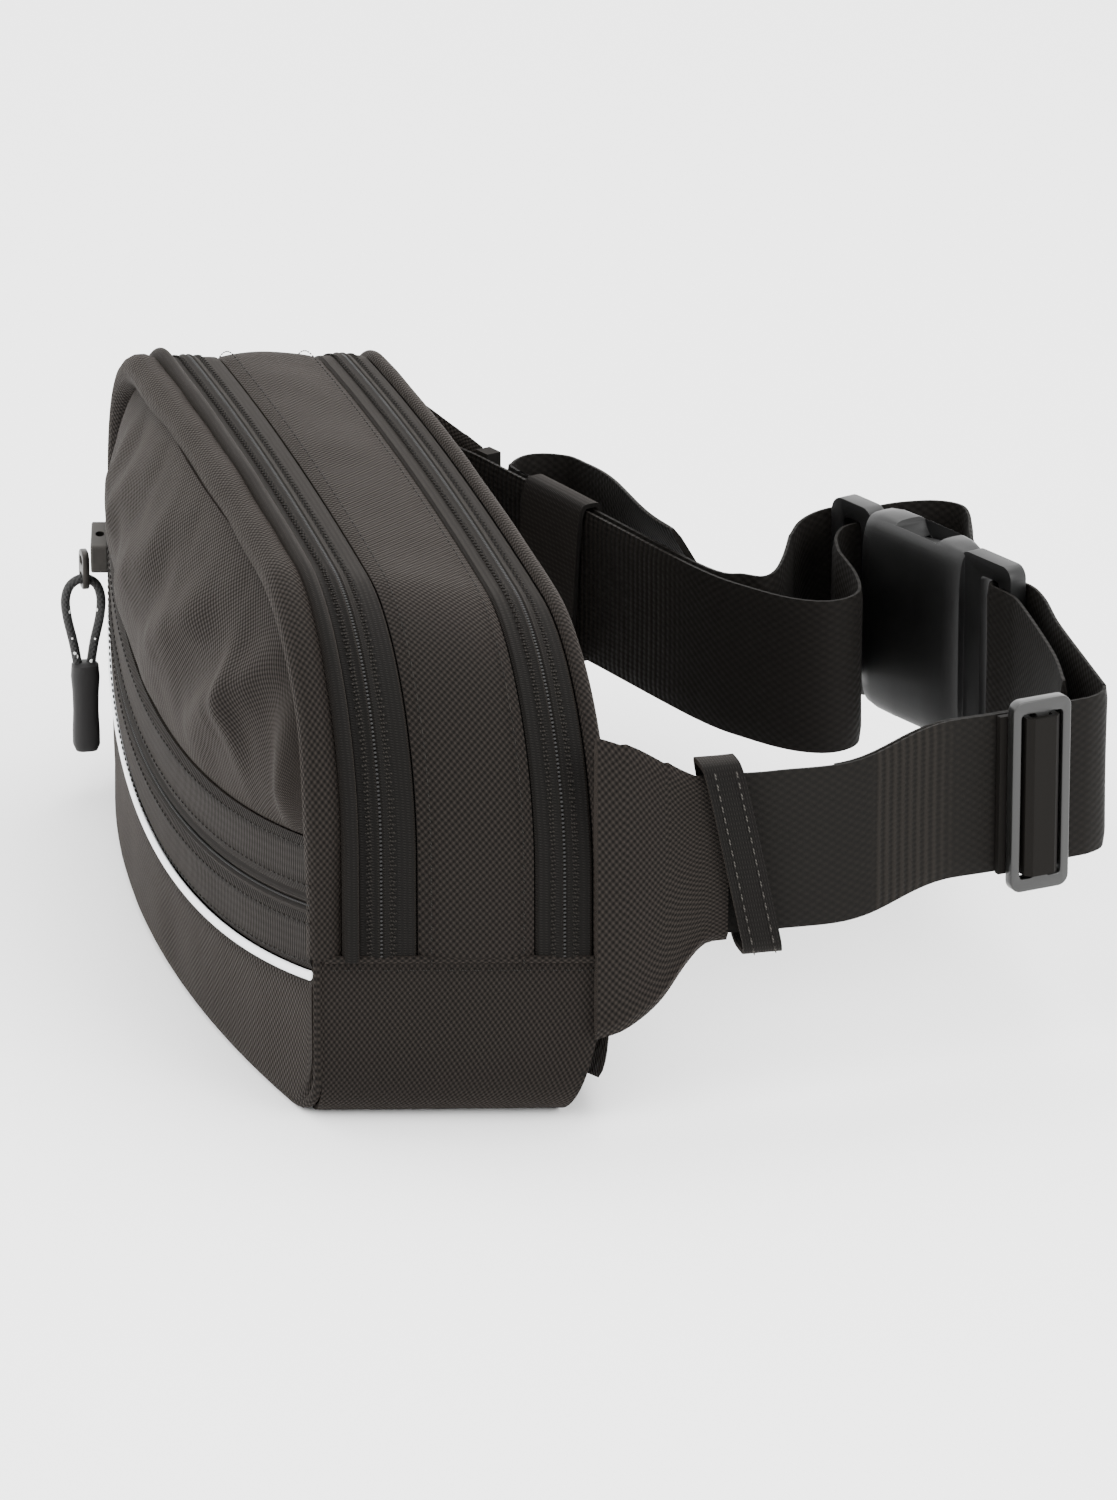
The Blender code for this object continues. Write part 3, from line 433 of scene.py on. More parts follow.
def make_flecked_cord(name):
    """Braided cord: a black helix of strands, painted darker between them as painted shade, with pale
    flecks woven in.
    """
    material, tree, shader = new_material(name, 0.7)
    uv = tree.nodes.new("ShaderNodeUVMap")
    uv.uv_map = UV_NAME
    weave = place_group(tree, WEAVE, uv.outputs[0], Pitch_Along=1.3 * MM, Pitch_Across=1.2 * MM,
                        Unevenness=0.1)
    fleck = tree.nodes.new("ShaderNodeTexVoronoi")
    fleck.inputs["Scale"].default_value = 330.0
    tree.links.new(uv.outputs[0], fleck.inputs["Vector"])
    pale = math_node(tree, "LESS_THAN", fleck.outputs["Distance"], 0.19)
    # Painted shade between the braid's strands and painted highlight on them; the pale flecks are the
    # cord's own colour.
    base = ramp(tree, weave.outputs["Shade"], (0.001, 0.001, 0.001), (0.010, 0.0095, 0.009))
    mix = tree.nodes.new("ShaderNodeMix")
    mix.data_type = "RGBA"
    tree.links.new(pale, mix.inputs[0])
    tree.links.new(base, mix.inputs[6])
    mix.inputs[7].default_value = (0.72, 0.72, 0.70, 1)
    tree.links.new(mix.outputs[2], shader.inputs["Base Color"])
    bump(tree, shader, weave.outputs["Height"], 0.2 * MM)
    return material


ACETAL = make_plastic("acetal", (0.0012, 0.0012, 0.0012), 0.42, coat=0.0)
GLIDE_PLASTIC = make_plastic("glide_plastic", (0.0045, 0.0045, 0.0042), 0.30, grain=0.015 * MM, coat=0.25)
COIL_PLASTIC = make_plastic("coil_plastic", (0.0032, 0.0030, 0.0028), 0.52, grain=0.0)
GRIP_RUBBER = make_plastic("grip_rubber", (0.006, 0.0055, 0.0055), 0.62)
DIECAST = make_metal("diecast", (0.012, 0.011, 0.010), 0.40)
THREAD = make_thread("thread", (0.0012, 0.0010, 0.0009), (0.0150, 0.0130, 0.0110))
PALE_THREAD = make_thread("pale_thread", (0.008, 0.0074, 0.0066), (0.050, 0.046, 0.041))
REFLECTIVE = make_reflective("reflective")
CORD_CLOTH = make_flecked_cord("cord_cloth")
print("hard finishes:", 9)

# %% [markdown]
# ## Building surfaces
# Cloth is easiest as a grid: rows of points go in, and quads come out with a texture map measured in
# metres, so that the weave keeps its true size on every piece. Solidify then gives it a thickness.


# %% Grid surfaces
def measure(points):
    """Running length along a line of points."""
    total, lengths = 0.0, [0.0]
    for one, two in zip(points, points[1:]):
        total += (two - one).length
        lengths.append(total)
    return lengths


def link_mesh(name, mesh):
    obj = bpy.data.objects.new(name, mesh)
    bpy.context.scene.collection.objects.link(obj)
    return obj


def grid_piece(name, rows, ring=False, caps=False):
    """Quads through rows of points; U runs from row to row and V along a row, in metres."""
    mesh = bpy.data.meshes.new(name)
    wide = len(rows[0])
    points = [point for row in rows for point in row]
    span = wide if ring else wide - 1
    middle = len(rows[0]) // 2
    us = measure([row[middle] for row in rows])
    vs = measure(rows[len(rows) // 2] + ([rows[len(rows) // 2][0]] if ring else []))
    faces, uvs = [], []
    for i in range(len(rows) - 1):
        for j in range(span):
            after = (j + 1) % wide
            faces.append((i * wide + j, i * wide + after, (i + 1) * wide + after, (i + 1) * wide + j))
            uvs += [(us[i], vs[j]), (us[i], vs[j + 1]), (us[i + 1], vs[j + 1]), (us[i + 1], vs[j])]
    if caps:
        faces += [tuple(reversed(range(wide))), tuple((len(rows) - 1) * wide + j for j in range(wide))]
        uvs += [(0.0, vs[j]) for j in reversed(range(wide))] + [(us[-1], vs[j]) for j in range(wide)]
    mesh.from_pydata(points, [], faces)
    layer = mesh.uv_layers.new(name=UV_NAME)
    for slot, uv in zip(layer.data, uvs):
        slot.uv = uv
    obj = link_mesh(name, mesh)
    return obj


def face_out(obj, toward=None):
    """Turns the faces outwards: away from the closed shape's inside, or towards a direction."""
    bm = bmesh.new()
    bm.from_mesh(obj.data)
    if toward is None:
        bmesh.ops.recalc_face_normals(bm, faces=bm.faces)
    else:
        lean = sum((face.normal * face.calc_area() for face in bm.faces), Vector())
        if lean.dot(Vector(toward)) < 0:
            bmesh.ops.reverse_faces(bm, faces=bm.faces)
    bm.to_mesh(obj.data)
    bm.free()
    return obj


def bake_modifiers(obj):
    """Turns the object's modifiers into plain mesh."""
    evaluated = obj.evaluated_get(bpy.context.evaluated_depsgraph_get())
    mesh = bpy.data.meshes.new_from_object(evaluated)
    obj.modifiers.clear()
    obj.data = mesh
    return obj


def dress(obj, material, body="bag", stands_for=(), sharp=40):
    """Gives a finished piece its material, its body and the solids it stands for."""
    obj.data.materials.clear()
    obj.data.materials.append(material)
    if obj.type == "MESH":
        obj.data.shade_smooth()
        obj.data.set_sharp_from_angle(angle=math.radians(sharp))
    if body:
        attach(obj, body)
    if stands_for:
        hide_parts(*stands_for)
    return obj


def thicken(obj, thickness, offset=-1.0, soften=0.0):
    solid = obj.modifiers.new("thickness", "SOLIDIFY")
    solid.thickness = thickness
    solid.offset = offset
    solid.use_even_offset = True
    if soften:
        edge = obj.modifiers.new("edge", "BEVEL")
        edge.width = soften
        edge.segments = 2
        edge.limit_method = "ANGLE"
        edge.angle_limit = math.radians(50)
    return bake_modifiers(obj)


print("grid helpers ready")

# %% [markdown]
# ## Stitches and zip teeth from one tree
# A stitch, a zip tooth and a rib repeat along a line, which is what Geometry Nodes is for. The tree
# takes lines of edges with an "out" direction on each point, spaces points evenly along them, and sets
# one small bead on each, turned to the line and standing out of the cloth.


# %% The bead tree
def node(tree, kind, **settings):
    made = tree.nodes.new(kind)
    for label, value in settings.items():
        setattr(made, label, value)
    return made


def make_bead_tree():
    tree = bpy.data.node_groups.new("beads_along_lines", "GeometryNodeTree")
    for label, kind in (("Lines", "Geometry"), ("Pitch", "Float"), ("Size", "Vector"),
                        ("Material", "Material")):
        tree.interface.new_socket(label, in_out="INPUT", socket_type="NodeSocket" + kind)
    tree.interface.new_socket("Beads", in_out="OUTPUT", socket_type="NodeSocketGeometry")
    source, result = tree.nodes.new("NodeGroupInput"), tree.nodes.new("NodeGroupOutput")
    link = tree.links.new
    curve = node(tree, "GeometryNodeMeshToCurve")
    link(source.outputs["Lines"], curve.inputs[0])
    spaced = node(tree, "GeometryNodeResampleCurve", mode="LENGTH")
    link(curve.outputs[0], spaced.inputs["Curve"])
    link(source.outputs["Pitch"], spaced.inputs["Length"])
    out = node(tree, "GeometryNodeInputNamedAttribute", data_type="FLOAT_VECTOR")
    out.inputs["Name"].default_value = "out"
    along = node(tree, "FunctionNodeAlignRotationToVector", axis="X")
    link(node(tree, "GeometryNodeInputTangent").outputs[0], along.inputs["Vector"])
    stand = node(tree, "FunctionNodeAlignRotationToVector", axis="Z", pivot_axis="X")
    link(along.outputs[0], stand.inputs["Rotation"])
    link(out.outputs[0], stand.inputs["Vector"])
    bead = node(tree, "GeometryNodeMeshUVSphere")
    bead.inputs["Segments"].default_value = 8
    bead.inputs["Rings"].default_value = 5
    bead.inputs["Radius"].default_value = 0.5
    shaped = node(tree, "GeometryNodeTransform")
    link(bead.outputs["Mesh"], shaped.inputs["Geometry"])
    link(source.outputs["Size"], shaped.inputs["Scale"])
    placed = node(tree, "GeometryNodeInstanceOnPoints")
    link(spaced.outputs[0], placed.inputs["Points"])
    link(shaped.outputs[0], placed.inputs["Instance"])
    link(stand.outputs[0], placed.inputs["Rotation"])
    real = node(tree, "GeometryNodeRealizeInstances")
    link(placed.outputs[0], real.inputs[0])
    look = node(tree, "GeometryNodeSetMaterial")
    link(real.outputs[0], look.inputs["Geometry"])
    link(source.outputs["Material"], look.inputs["Material"])
    link(look.outputs[0], result.inputs["Beads"])
    return tree


BEADS = make_bead_tree()
print("tree:", BEADS.name)


# %% Beads along lines of points
def beads(name, lines, pitch, size, material, body="bag", slot="zip_coil"):
    """Beads along lines; a line is a list of (point, out)."""
    points, outs, edges = [], [], []
    for line in lines:
        first = len(points)
        points += [point for point, _ in line]
        outs += [out for _, out in line]
        edges += [(first + k, first + k + 1) for k in range(len(line) - 1)]
    mesh = bpy.data.meshes.new(name)
    mesh.from_pydata(points, edges, [])
    attribute = mesh.attributes.new("out", "FLOAT_VECTOR", "POINT")
    for slot_out, out in zip(attribute.data, outs):
        slot_out.vector = out
    obj = link_mesh(name, mesh)
    modifier = obj.modifiers.new("beads", "NODES")
    modifier.node_group = BEADS
    values = {"Pitch": pitch, "Size": size, "Material": material}
    for item in BEADS.interface.items_tree:
        if item.item_type == "SOCKET" and item.in_out == "INPUT" and item.name in values:
            modifier[item.identifier] = values[item.name]
    bake_modifiers(obj)
    dress(obj, material, body, sharp=180)
    print(name, len(obj.data.polygons), "faces")
    return obj


# %% [markdown]
# ## The bag's arch
# The sides, rounded shoulders and slightly crowned top are one line, wider and lower towards the back.
# The solids were made from the same few sizes, so the cloth lies on them.

# %% Outline sizes
HALF_WIDTH = 130 * MM
WIDTH_FLARE = 0.23
HEIGHT = 114 * MM
HEIGHT_FALL = 0.12
SHOULDER_RADIUS = 36 * MM
NEAR_SHOULDER = 52 * MM
CROWN_RADIUS = 1.5
SEAM_Z = 40 * MM
CORNER_RADIUS = 13 * MM
SIDE_STEPS, SHOULDER_STEPS, CROWN_STEPS = 16, 24, 34


def half_width(y):
    return HALF_WIDTH + WIDTH_FLARE * y


def height(y):
    return HEIGHT - HEIGHT_FALL * y


def arch_half(y, lift, base, shoulder):
    """The arch on the +X side, from its foot to the middle of the crown."""
    x = half_width(y) - shoulder
    z = height(y) - CROWN_RADIUS + math.sqrt((CROWN_RADIUS - shoulder) ** 2 - x ** 2)
    radius = shoulder + lift
    lean = math.asin(x / (CROWN_RADIUS - shoulder))
    half = []
    for step in range(SIDE_STEPS):
        half.append((Vector((x + radius, y, base + (z - base) * step / SIDE_STEPS)), Vector((1, 0, 0))))
    for step in range(SHOULDER_STEPS):
        turn = (math.pi / 2 - lean) * step / SHOULDER_STEPS
        out = Vector((math.cos(turn), 0, math.sin(turn)))
        half.append((Vector((x, y, z)) + radius * out, out))
    for step in range(CROWN_STEPS + 1):
        turn = lean * (1 - step / CROWN_STEPS)
        out = Vector((math.sin(turn), 0, math.cos(turn)))
        half.append((Vector((0, y, height(y) - CROWN_RADIUS)) + (CROWN_RADIUS + lift) * out, out))
    return half


def arch(y, lift=0.0, base=SEAM_Z):
    """Points of the arch from the +X side over the top to the -X side, each with its outward way."""
    near = arch_half(y, lift, base, NEAR_SHOULDER)
    far = arch_half(y, lift, base, SHOULDER_RADIUS)
    return near + [(Vector((-p.x, p.y, p.z)), Vector((-n.x, n.y, n.z))) for p, n in reversed(far[:-1])]


print("arch points:", len(arch(0.0)))


# %% A band along the arch
def soft(point, size, seed):
    """Smooth unevenness between -1 and 1; size is the width of its waves."""
    return noise.noise(point / size + Vector((seed, 2.7 * seed, 0)))


def arch_band(name, profile, material, stands_for=(), thickness=1.0 * MM, base=SEAM_Z, sag=0.0,
              wave=24 * MM, seed=1.0):
    """Cloth along the arch; the profile lists (y, lift) from front to back."""
    across = [arch(y, lift, base) for y, lift in profile]
    rows = []
    for index in range(len(across[0])):
        row = []
        for k, line in enumerate(across):
            point, out = line[index]
            inner = math.sin(math.pi * k / (len(across) - 1))
            row.append(point + out * sag * inner * soft(point, wave, seed))
        rows.append(row)
    obj = grid_piece(name, rows)
    face_out(obj, (0, 0, 1))
    thicken(obj, thickness)
    return dress(obj, material, "bag", stands_for)


def eased(a, b, steps):
    """Evenly spaced numbers from a to b."""
    return [a + (b - a) * k / steps for k in range(steps + 1)]


# %% [markdown]
# ## Gusset, zips and edge roll
# From the front the arch goes: the rolled edge of the front, a fold over the zip's tape, the front zip,
# the middle gusset with a row of stitches beside each seam, the rear zip and a narrow fold at the back.

# %% Depths of the bands
FRONT_ZIP = (-41.5 * MM, -25.8 * MM)
MIDDLE = (-25.5 * MM, -0.1 * MM)
REAR_ZIP = (0.2 * MM, 12.6 * MM)
FLANGE = (12.9 * MM, 16.6 * MM)
ROLL_Y = -44.0 * MM
FRONT_COIL_Y = -33.65 * MM
REAR_COIL_Y = 6.4 * MM


def bump_profile(start, end, crown, steps=8, edge=-0.5 * MM):
    """A softly crowned strip between two seams."""
    profile = []
    for y in eased(start, end, steps):
        share = (y - start) / (end - start)
        profile.append((y, edge + (crown - edge) * math.sin(math.pi * share) ** 0.45))
    return profile


def zip_profile(start, end, coil_y, lip=0.9 * MM):
    """Tape that rises to a lip on each side of the zip's closed line."""
    left = [(start, -0.8 * MM), (start + 0.6 * MM, 0.1 * MM)]
    left += [(y, 0.15 * MM) for y in eased(start + 1.6 * MM, coil_y - 2.4 * MM, 3)]
    left += [(coil_y - 1.6 * MM, 0.45 * MM), (coil_y - 0.7 * MM, lip), (coil_y - 0.25 * MM, 0.4 * MM),
             (coil_y, -0.1 * MM)]
    right = [(coil_y + 0.25 * MM, 0.4 * MM), (coil_y + 0.7 * MM, lip), (coil_y + 1.6 * MM, 0.45 * MM)]
    right += [(y, 0.15 * MM) for y in eased(coil_y + 2.4 * MM, end - 1.6 * MM, 3)]
    return left + right + [(end - 0.6 * MM, 0.1 * MM), (end, -0.8 * MM)]


# %% Middle gusset and rear fold
arch_band("gusset_middle_cloth", bump_profile(*MIDDLE, 0.9 * MM, 16), PACK_CLOTH,
          ("gusset_middle",), sag=0.9 * MM, seed=3.0)
rear_profile = bump_profile(*FLANGE, 1.6 * MM)
rear_profile += [(FLANGE[1] + 0.5 * MM, -2 * MM), (FLANGE[1] + 0.6 * MM, -8 * MM)]
arch_band("rear_fold", rear_profile, PACK_CLOTH, ("rear_flange",),
          sag=0.4 * MM, seed=5.0)
print("middle gusset and rear fold")

# %% Under-layer
# The seam allowances behind the bands, which keep daylight out of the seams.
arch_band("gusset_underlay", [(y, -2.3 * MM) for y in eased(-44.5 * MM, 16.8 * MM, 10)], TAPE_CLOTH,
          thickness=0.5 * MM, base=SEAM_Z - 4 * MM)
print("under-layer")

# %% Zip tapes
FOLD_END = FRONT_ZIP[0] + 3.2 * MM
arch_band("front_zip_fold", bump_profile(FRONT_ZIP[0] - 0.6 * MM, FOLD_END, 2.4 * MM, 10), TAPE_CLOTH,
          sag=0.5 * MM, seed=7.0)
arch_band("front_zip_tape_cloth", zip_profile(FOLD_END - 0.6 * MM, FRONT_ZIP[1], FRONT_COIL_Y),
          TAPE_CLOTH, ("front_zip_tape",))
arch_band("rear_zip_tape_cloth", zip_profile(*REAR_ZIP, REAR_COIL_Y), TAPE_CLOTH,
          ("rear_zip_tape",))
print("zip tapes")


# %% Rolled front edge
def arch_roll(name, y, lift, radius, squash, seed, stands_for=()):
    """A soft cord of cloth along the arch, flatter than it is wide."""
    rows = []
    for point, out in arch(y, lift, SEAM_Z):
        swell = 1 + 0.12 * soft(point, 26 * MM, seed)
        drift = 0.5 * MM * soft(point, 40 * MM, seed + 9)
        ring = []
        for k in range(14):
            turn = 2 * math.pi * k / 14
            ring.append(point + out * (radius * squash * swell * math.sin(turn) + drift)
                        + Vector((0, 1, 0)) * radius * swell * math.cos(turn))
        rows.append(ring)
    obj = face_out(grid_piece(name, rows, ring=True, caps=True))
    return dress(obj, PACK_CLOTH, "bag", stands_for)


arch_roll("front_edge_roll", ROLL_Y - 1.4 * MM, -3.0 * MM, 4.4 * MM, 0.95, 11.0, ("edge_roll",))
print("edge roll")


# %% Zip teeth
TEETH_FOOT = SEAM_Z + 1 * MM
TEETH_PITCH = 1.9 * MM
for teeth_name, coil_y, node_name in (("front_zip_teeth", FRONT_COIL_Y, "front_zip_coil"),
                                      ("rear_zip_teeth", REAR_COIL_Y, "rear_zip_coil")):
    teeth = beads(teeth_name, [arch(coil_y, 0.35 * MM, TEETH_FOOT)], TEETH_PITCH / 2,
                  (0.72 * MM, 1.1 * MM, 0.6 * MM), COIL_PLASTIC)
    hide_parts(node_name)
for rib_name, coil_y in (("front_zip_ribs", FRONT_COIL_Y), ("rear_zip_ribs", REAR_COIL_Y)):
    offsets = (-2.3 * MM, 2.3 * MM)
    beads(rib_name, [arch(coil_y + shift, 0.30 * MM, TEETH_FOOT) for shift in offsets], TEETH_PITCH / 2,
          (0.55 * MM, 1.5 * MM, 0.35 * MM), THREAD, slot="zip_tape")

# %% [markdown]
# ## Front of the bag
# The front bulges forward and leans back near the top. Its pocket opens along a curved seam: a
# reflective piping, a tape, the zip's line, a second tape, and above them the soft, baggy pocket.

# %% Front surface
FRONT_Y = -62 * MM
FRONT_BULGE = 14.1 * MM
FRONT_SETBACK_Z = 70 * MM
FRONT_SETBACK = 12.2 * MM
SEAM_Y = -41.8 * MM
SMILE_Z = 26.5 * MM
SMILE_RISE = 15.42 * MM
SMILE_TILT = 6.62 * MM
PIPING = 2.4 * MM
TAPE = 13.2 * MM
COIL = 5.0 * MM


def front_y(x, z):
    rise = max(0.0, z - FRONT_SETBACK_Z) / (height(SEAM_Y) - FRONT_SETBACK_Z)
    return FRONT_Y + FRONT_BULGE * (x / half_width(SEAM_Y)) ** 2 + FRONT_SETBACK * rise * rise


def smile_z(x, lift=0.0):
    share = x / half_width(SEAM_Y)
    return SMILE_Z + lift + SMILE_RISE * share ** 2 - SMILE_TILT * share


def bottom_z(x, half):
    past = max(0.0, abs(x) - (half - CORNER_RADIUS)) / CORNER_RADIUS
    return CORNER_RADIUS * (1 - math.cos(math.asin(min(1.0, past))))


def front_point(x, z, lift=0.0):
    """A point on the front, lifted out of it."""
    slope = 2 * FRONT_BULGE * x / half_width(SEAM_Y) ** 2
    out = Vector((slope, -1, 0)).normalized()
    return Vector((x, front_y(x, z), z)) + out * lift


def front_strip(name, half, low, high, lifts, material, stands_for=(), steps=110, sag=0.0,
                seed=1.0, thickness=1.0 * MM):
    """Cloth on the front between two heights, with the lift of each line across it."""
    rows = []
    for step in range(steps + 1):
        x = half * (1 - 2 * step / steps)
        row = []
        for k, lift in enumerate(lifts):
            share = k / (len(lifts) - 1)
            z = low(x) + (high(x) - low(x)) * share
            point = front_point(x, z, lift)
            inner = math.sin(math.pi * share)
            row.append(point + Vector((0, -1, 0)) * sag * inner * soft(point, 22 * MM, seed))
        rows.append(row)
    obj = grid_piece(name, rows)
    face_out(obj, (0, -1, 0))
    thicken(obj, thickness)
    return dress(obj, material, "bag", stands_for)


FRONT_HALF = half_width(SEAM_Y - 2.2 * MM) - 2.4 * MM
print("front half width", round(FRONT_HALF / MM, 1), "mm")

# %% Lower panel, tapes and piping
front_strip("front_lower_cloth", FRONT_HALF, lambda x: bottom_z(x, FRONT_HALF), lambda x: smile_z(x),
            [-0.9 * MM] + [0.2 * MM] * 11 + [-0.4 * MM], PACK_CLOTH,
            ("front_panel_lower",), sag=0.8 * MM, seed=13.0)
LOW_TAPE = (PIPING, PIPING + TAPE)
COIL_BAND = (PIPING + TAPE, PIPING + TAPE + COIL)
HIGH_TAPE = (PIPING + TAPE + COIL, PIPING + 2 * TAPE + COIL)
FLAT_TAPE = [-0.3 * MM, 0.5 * MM, 0.6 * MM, 0.6 * MM, 0.6 * MM, 0.55 * MM, 0.7 * MM, 0.1 * MM]
front_strip("pocket_tape_lower_cloth", FRONT_HALF, lambda x: smile_z(x, LOW_TAPE[0]),
            lambda x: smile_z(x, LOW_TAPE[1]), FLAT_TAPE, GROSGRAIN, ("pocket_tape_lower",),
            sag=0.25 * MM, seed=17.0)
front_strip("pocket_tape_upper_cloth", FRONT_HALF, lambda x: smile_z(x, HIGH_TAPE[0]),
            lambda x: smile_z(x, HIGH_TAPE[1]), list(reversed(FLAT_TAPE)), GROSGRAIN,
            ("pocket_tape_upper",), sag=0.25 * MM, seed=19.0)
front_strip("pocket_coil_tape", FRONT_HALF, lambda x: smile_z(x, COIL_BAND[0]),
            lambda x: smile_z(x, COIL_BAND[1]),
            [0.1 * MM, 0.5 * MM, 0.9 * MM, 0.3 * MM, -0.1 * MM, 0.3 * MM, 0.9 * MM, 0.5 * MM, 0.1 * MM],
            TAPE_CLOTH, ("pocket_zip_coil",))
print("lower panel and tapes")


# %% Piping
def smile_line(lift, out_lift, half=FRONT_HALF, steps=150):
    line = []
    for step in range(steps + 1):
        x = half * (1 - 2 * step / steps)
        point = front_point(x, smile_z(x, lift), out_lift)
        line.append((point, (point - front_point(x, smile_z(x, lift))).normalized()))
    return line


def make_piping():
    rows = []
    for point, out in smile_line(PIPING / 2, 0.5 * MM):
        up = Vector((0, 0, 1))
        ring = []
        for k in range(12):
            turn = 2 * math.pi * k / 12
            ring.append(point + out * 0.75 * MM * math.sin(turn) + up * 1.2 * MM * math.cos(turn))
        rows.append(ring)
    obj = face_out(grid_piece("reflective_piping_strip", rows, ring=True, caps=True))
    return dress(obj, REFLECTIVE, "bag", ("reflective_piping",))


make_piping()
beads("pocket_zip_teeth", [smile_line(sum(COIL_BAND) / 2, 0.35 * MM)], TEETH_PITCH / 2,
      (0.7 * MM, 0.6 * MM, 1.1 * MM), COIL_PLASTIC)
print("piping and pocket zip")


# %% [markdown]
# ## The soft pocket
# The pocket is a loose bag of cloth, so it is baggy: it swells between its seams, and long soft folds
# run across it from the lower middle to the shoulder, where the cloth is pulled by its curved seam.

# %% Pocket
POCKET_INSET = 3.2 * MM


def pocket_top(x):
    """Height of the arch's inner edge over x."""
    line = [(p.x, p.z) for p, _ in arch(SEAM_Y, -POCKET_INSET)]
    for (ax, az), (bx, bz) in zip(line, line[1:]):
        if bx <= x <= ax and ax > bx:
            return bz + (az - bz) * (x - bx) / (ax - bx)
    return line[SIDE_STEPS][1]


FOLDS = ((-70, 102, -90, 76, 1.5, 7), (-42, 104, -82, 70, 2.0, 8), (0, 103, -50, 66, 2.0, 9),
         (44, 101, -8, 66, 2.6, 8), (84, 96, 34, 62, 2.8, 7), (66, 100, 84, 66, 1.2, 5),
         (104, 92, 111, 58, 3.2, 6), (-100, 88, -104, 66, 1.2, 6))


def folds(x, z):
    """Soft ridges across the pocket; each has two ends, a depth and a width, in millimetres."""
    total = 0.0
    here = Vector((x / MM, z / MM))
    for ax, az, bx, bz, depth, width in FOLDS:
        start, run = Vector((ax, az)), Vector((bx - ax, bz - az))
        share = (here - start).dot(run) / run.length_squared
        bend = 2.5 * noise.noise(Vector((share * 2.2, ax * 0.13, 4.1)))
        away = (here - start).cross(run) / run.length - bend
        fade = max(0.0, 1 - abs(share - 0.45) / 0.72) ** 0.7
        total += depth * fade * math.exp(-(away / width) ** 2)
    rough = 0.5 * noise.noise(Vector((x, 0, z)) / (11 * MM))
    rough += 0.8 * noise.noise(Vector((x, 3, z)) / (26 * MM))
    return (1.6 * total + rough) * MM


def make_pocket():
    steps_x, steps_z = 150, 44
    half = FRONT_HALF - 1.5 * MM
    rows = []
    for i in range(steps_x + 1):
        x = half * (1 - 2 * i / steps_x)
        low, high = smile_z(x, HIGH_TAPE[1]), pocket_top(x)
        row = []
        for k in range(steps_z + 1):
            share = k / steps_z
            z = low + (high - low) * share
            edge = math.sin(math.pi * share) ** 0.5
            side = min(1.0, (half - abs(x)) / (22 * MM)) ** 0.5
            lift = -1.0 * MM + edge * side * (2.0 * MM + folds(x, z))
            row.append(front_point(x, z, lift))
        rows.append(row)
    obj = grid_piece("front_pocket_cloth", rows)
    face_out(obj, (0, -1, 0))
    thicken(obj, 1.0 * MM)
    return dress(obj, PACK_CLOTH, "bag", ("front_pocket",))


make_pocket()
print("front pocket")

# %% [markdown]
# ## Bottom gusset
# One piece of cloth goes under the bag and up both ends to the seam below the zips. It carries the
# weight, so it lies flat on the floor and creases a little at the corners.


# %% Bottom gusset
def bottom_path(y, lift):
    """Points (x, z) and outward ways along the trough, from the +X seam under to the -X seam."""
    half, radius = half_width(y), CORNER_RADIUS
    right = [(Vector((half + lift, y, SEAM_Z - (SEAM_Z - radius) * k / 12)), Vector((1, 0, 0)))
             for k in range(12)]
    for k in range(15):
        turn = math.pi / 2 * k / 14
        out = Vector((math.cos(turn), 0, -math.sin(turn)))
        right.append((Vector((half - radius, y, radius)) + out * (radius + lift), out))
    for k in range(1, 31):
        right.append((Vector(((half - radius) * (1 - k / 30), y, -lift)), Vector((0, 0, -1))))
    left = [(Vector((-p.x, p.y, p.z)), Vector((-n.x, n.y, n.z))) for p, n in reversed(right[:-1])]
    return right + left


def make_bottom():
    back = FLANGE[1]
    steps = 34
    lines = []
    for k in range(steps + 1):
        share = k / steps
        line = []
        for point, out in bottom_path(back, 0.0):
            near = front_y(half_width(SEAM_Y), 0) + 1.2 * MM if abs(point.x) > 105 * MM \
                else front_y(point.x, 0) + 1.2 * MM
            low = 1 - min(1.0, point.z / SEAM_Z)
            slope = 9 * MM * low ** 1.6 if abs(point.x) > 60 * MM else 4 * MM * low
            y = near + (back - slope - near) * share
            x = point.x * half_width(y) / half_width(back)
            here = Vector((x, y, point.z))
            upright = min(1.0, point.z / CORNER_RADIUS)
            edge = math.sin(math.pi * share) ** 0.4
            swell = 1.1 * MM * soft(here, 20 * MM, 31.0) * edge * upright
            tuck = -0.6 * MM * (1 - edge) * upright
            line.append(here + out * (swell + tuck))
        lines.append(line)
    ways = [out for _, out in bottom_path(back, 0.0)]
    lines.append([here - out * 4 * MM + Vector((0, 0.5 * MM, 0)) for here, out in zip(lines[-1], ways)])
    lines.append([here - out * 9 * MM + Vector((0, 0.3 * MM, 0)) for here, out in zip(lines[-1], ways)])
    rows = [list(row) for row in zip(*lines)]
    obj = grid_piece("bottom_gusset_cloth", rows)
    face_out(obj, (0, 0, -1))
    thicken(obj, 1.2 * MM)
    return dress(obj, PACK_CLOTH, "bag", ("bottom_gusset",))


make_bottom()
print("bottom gusset")


# %% [markdown]
# ## Back panel and lining
# The back rests on the wearer, so it is a foam pad under open mesh, crowned between its bound edges.

# %% Back panel
PAD_FRONT, PAD_BACK = 16.9 * MM, 26.9 * MM


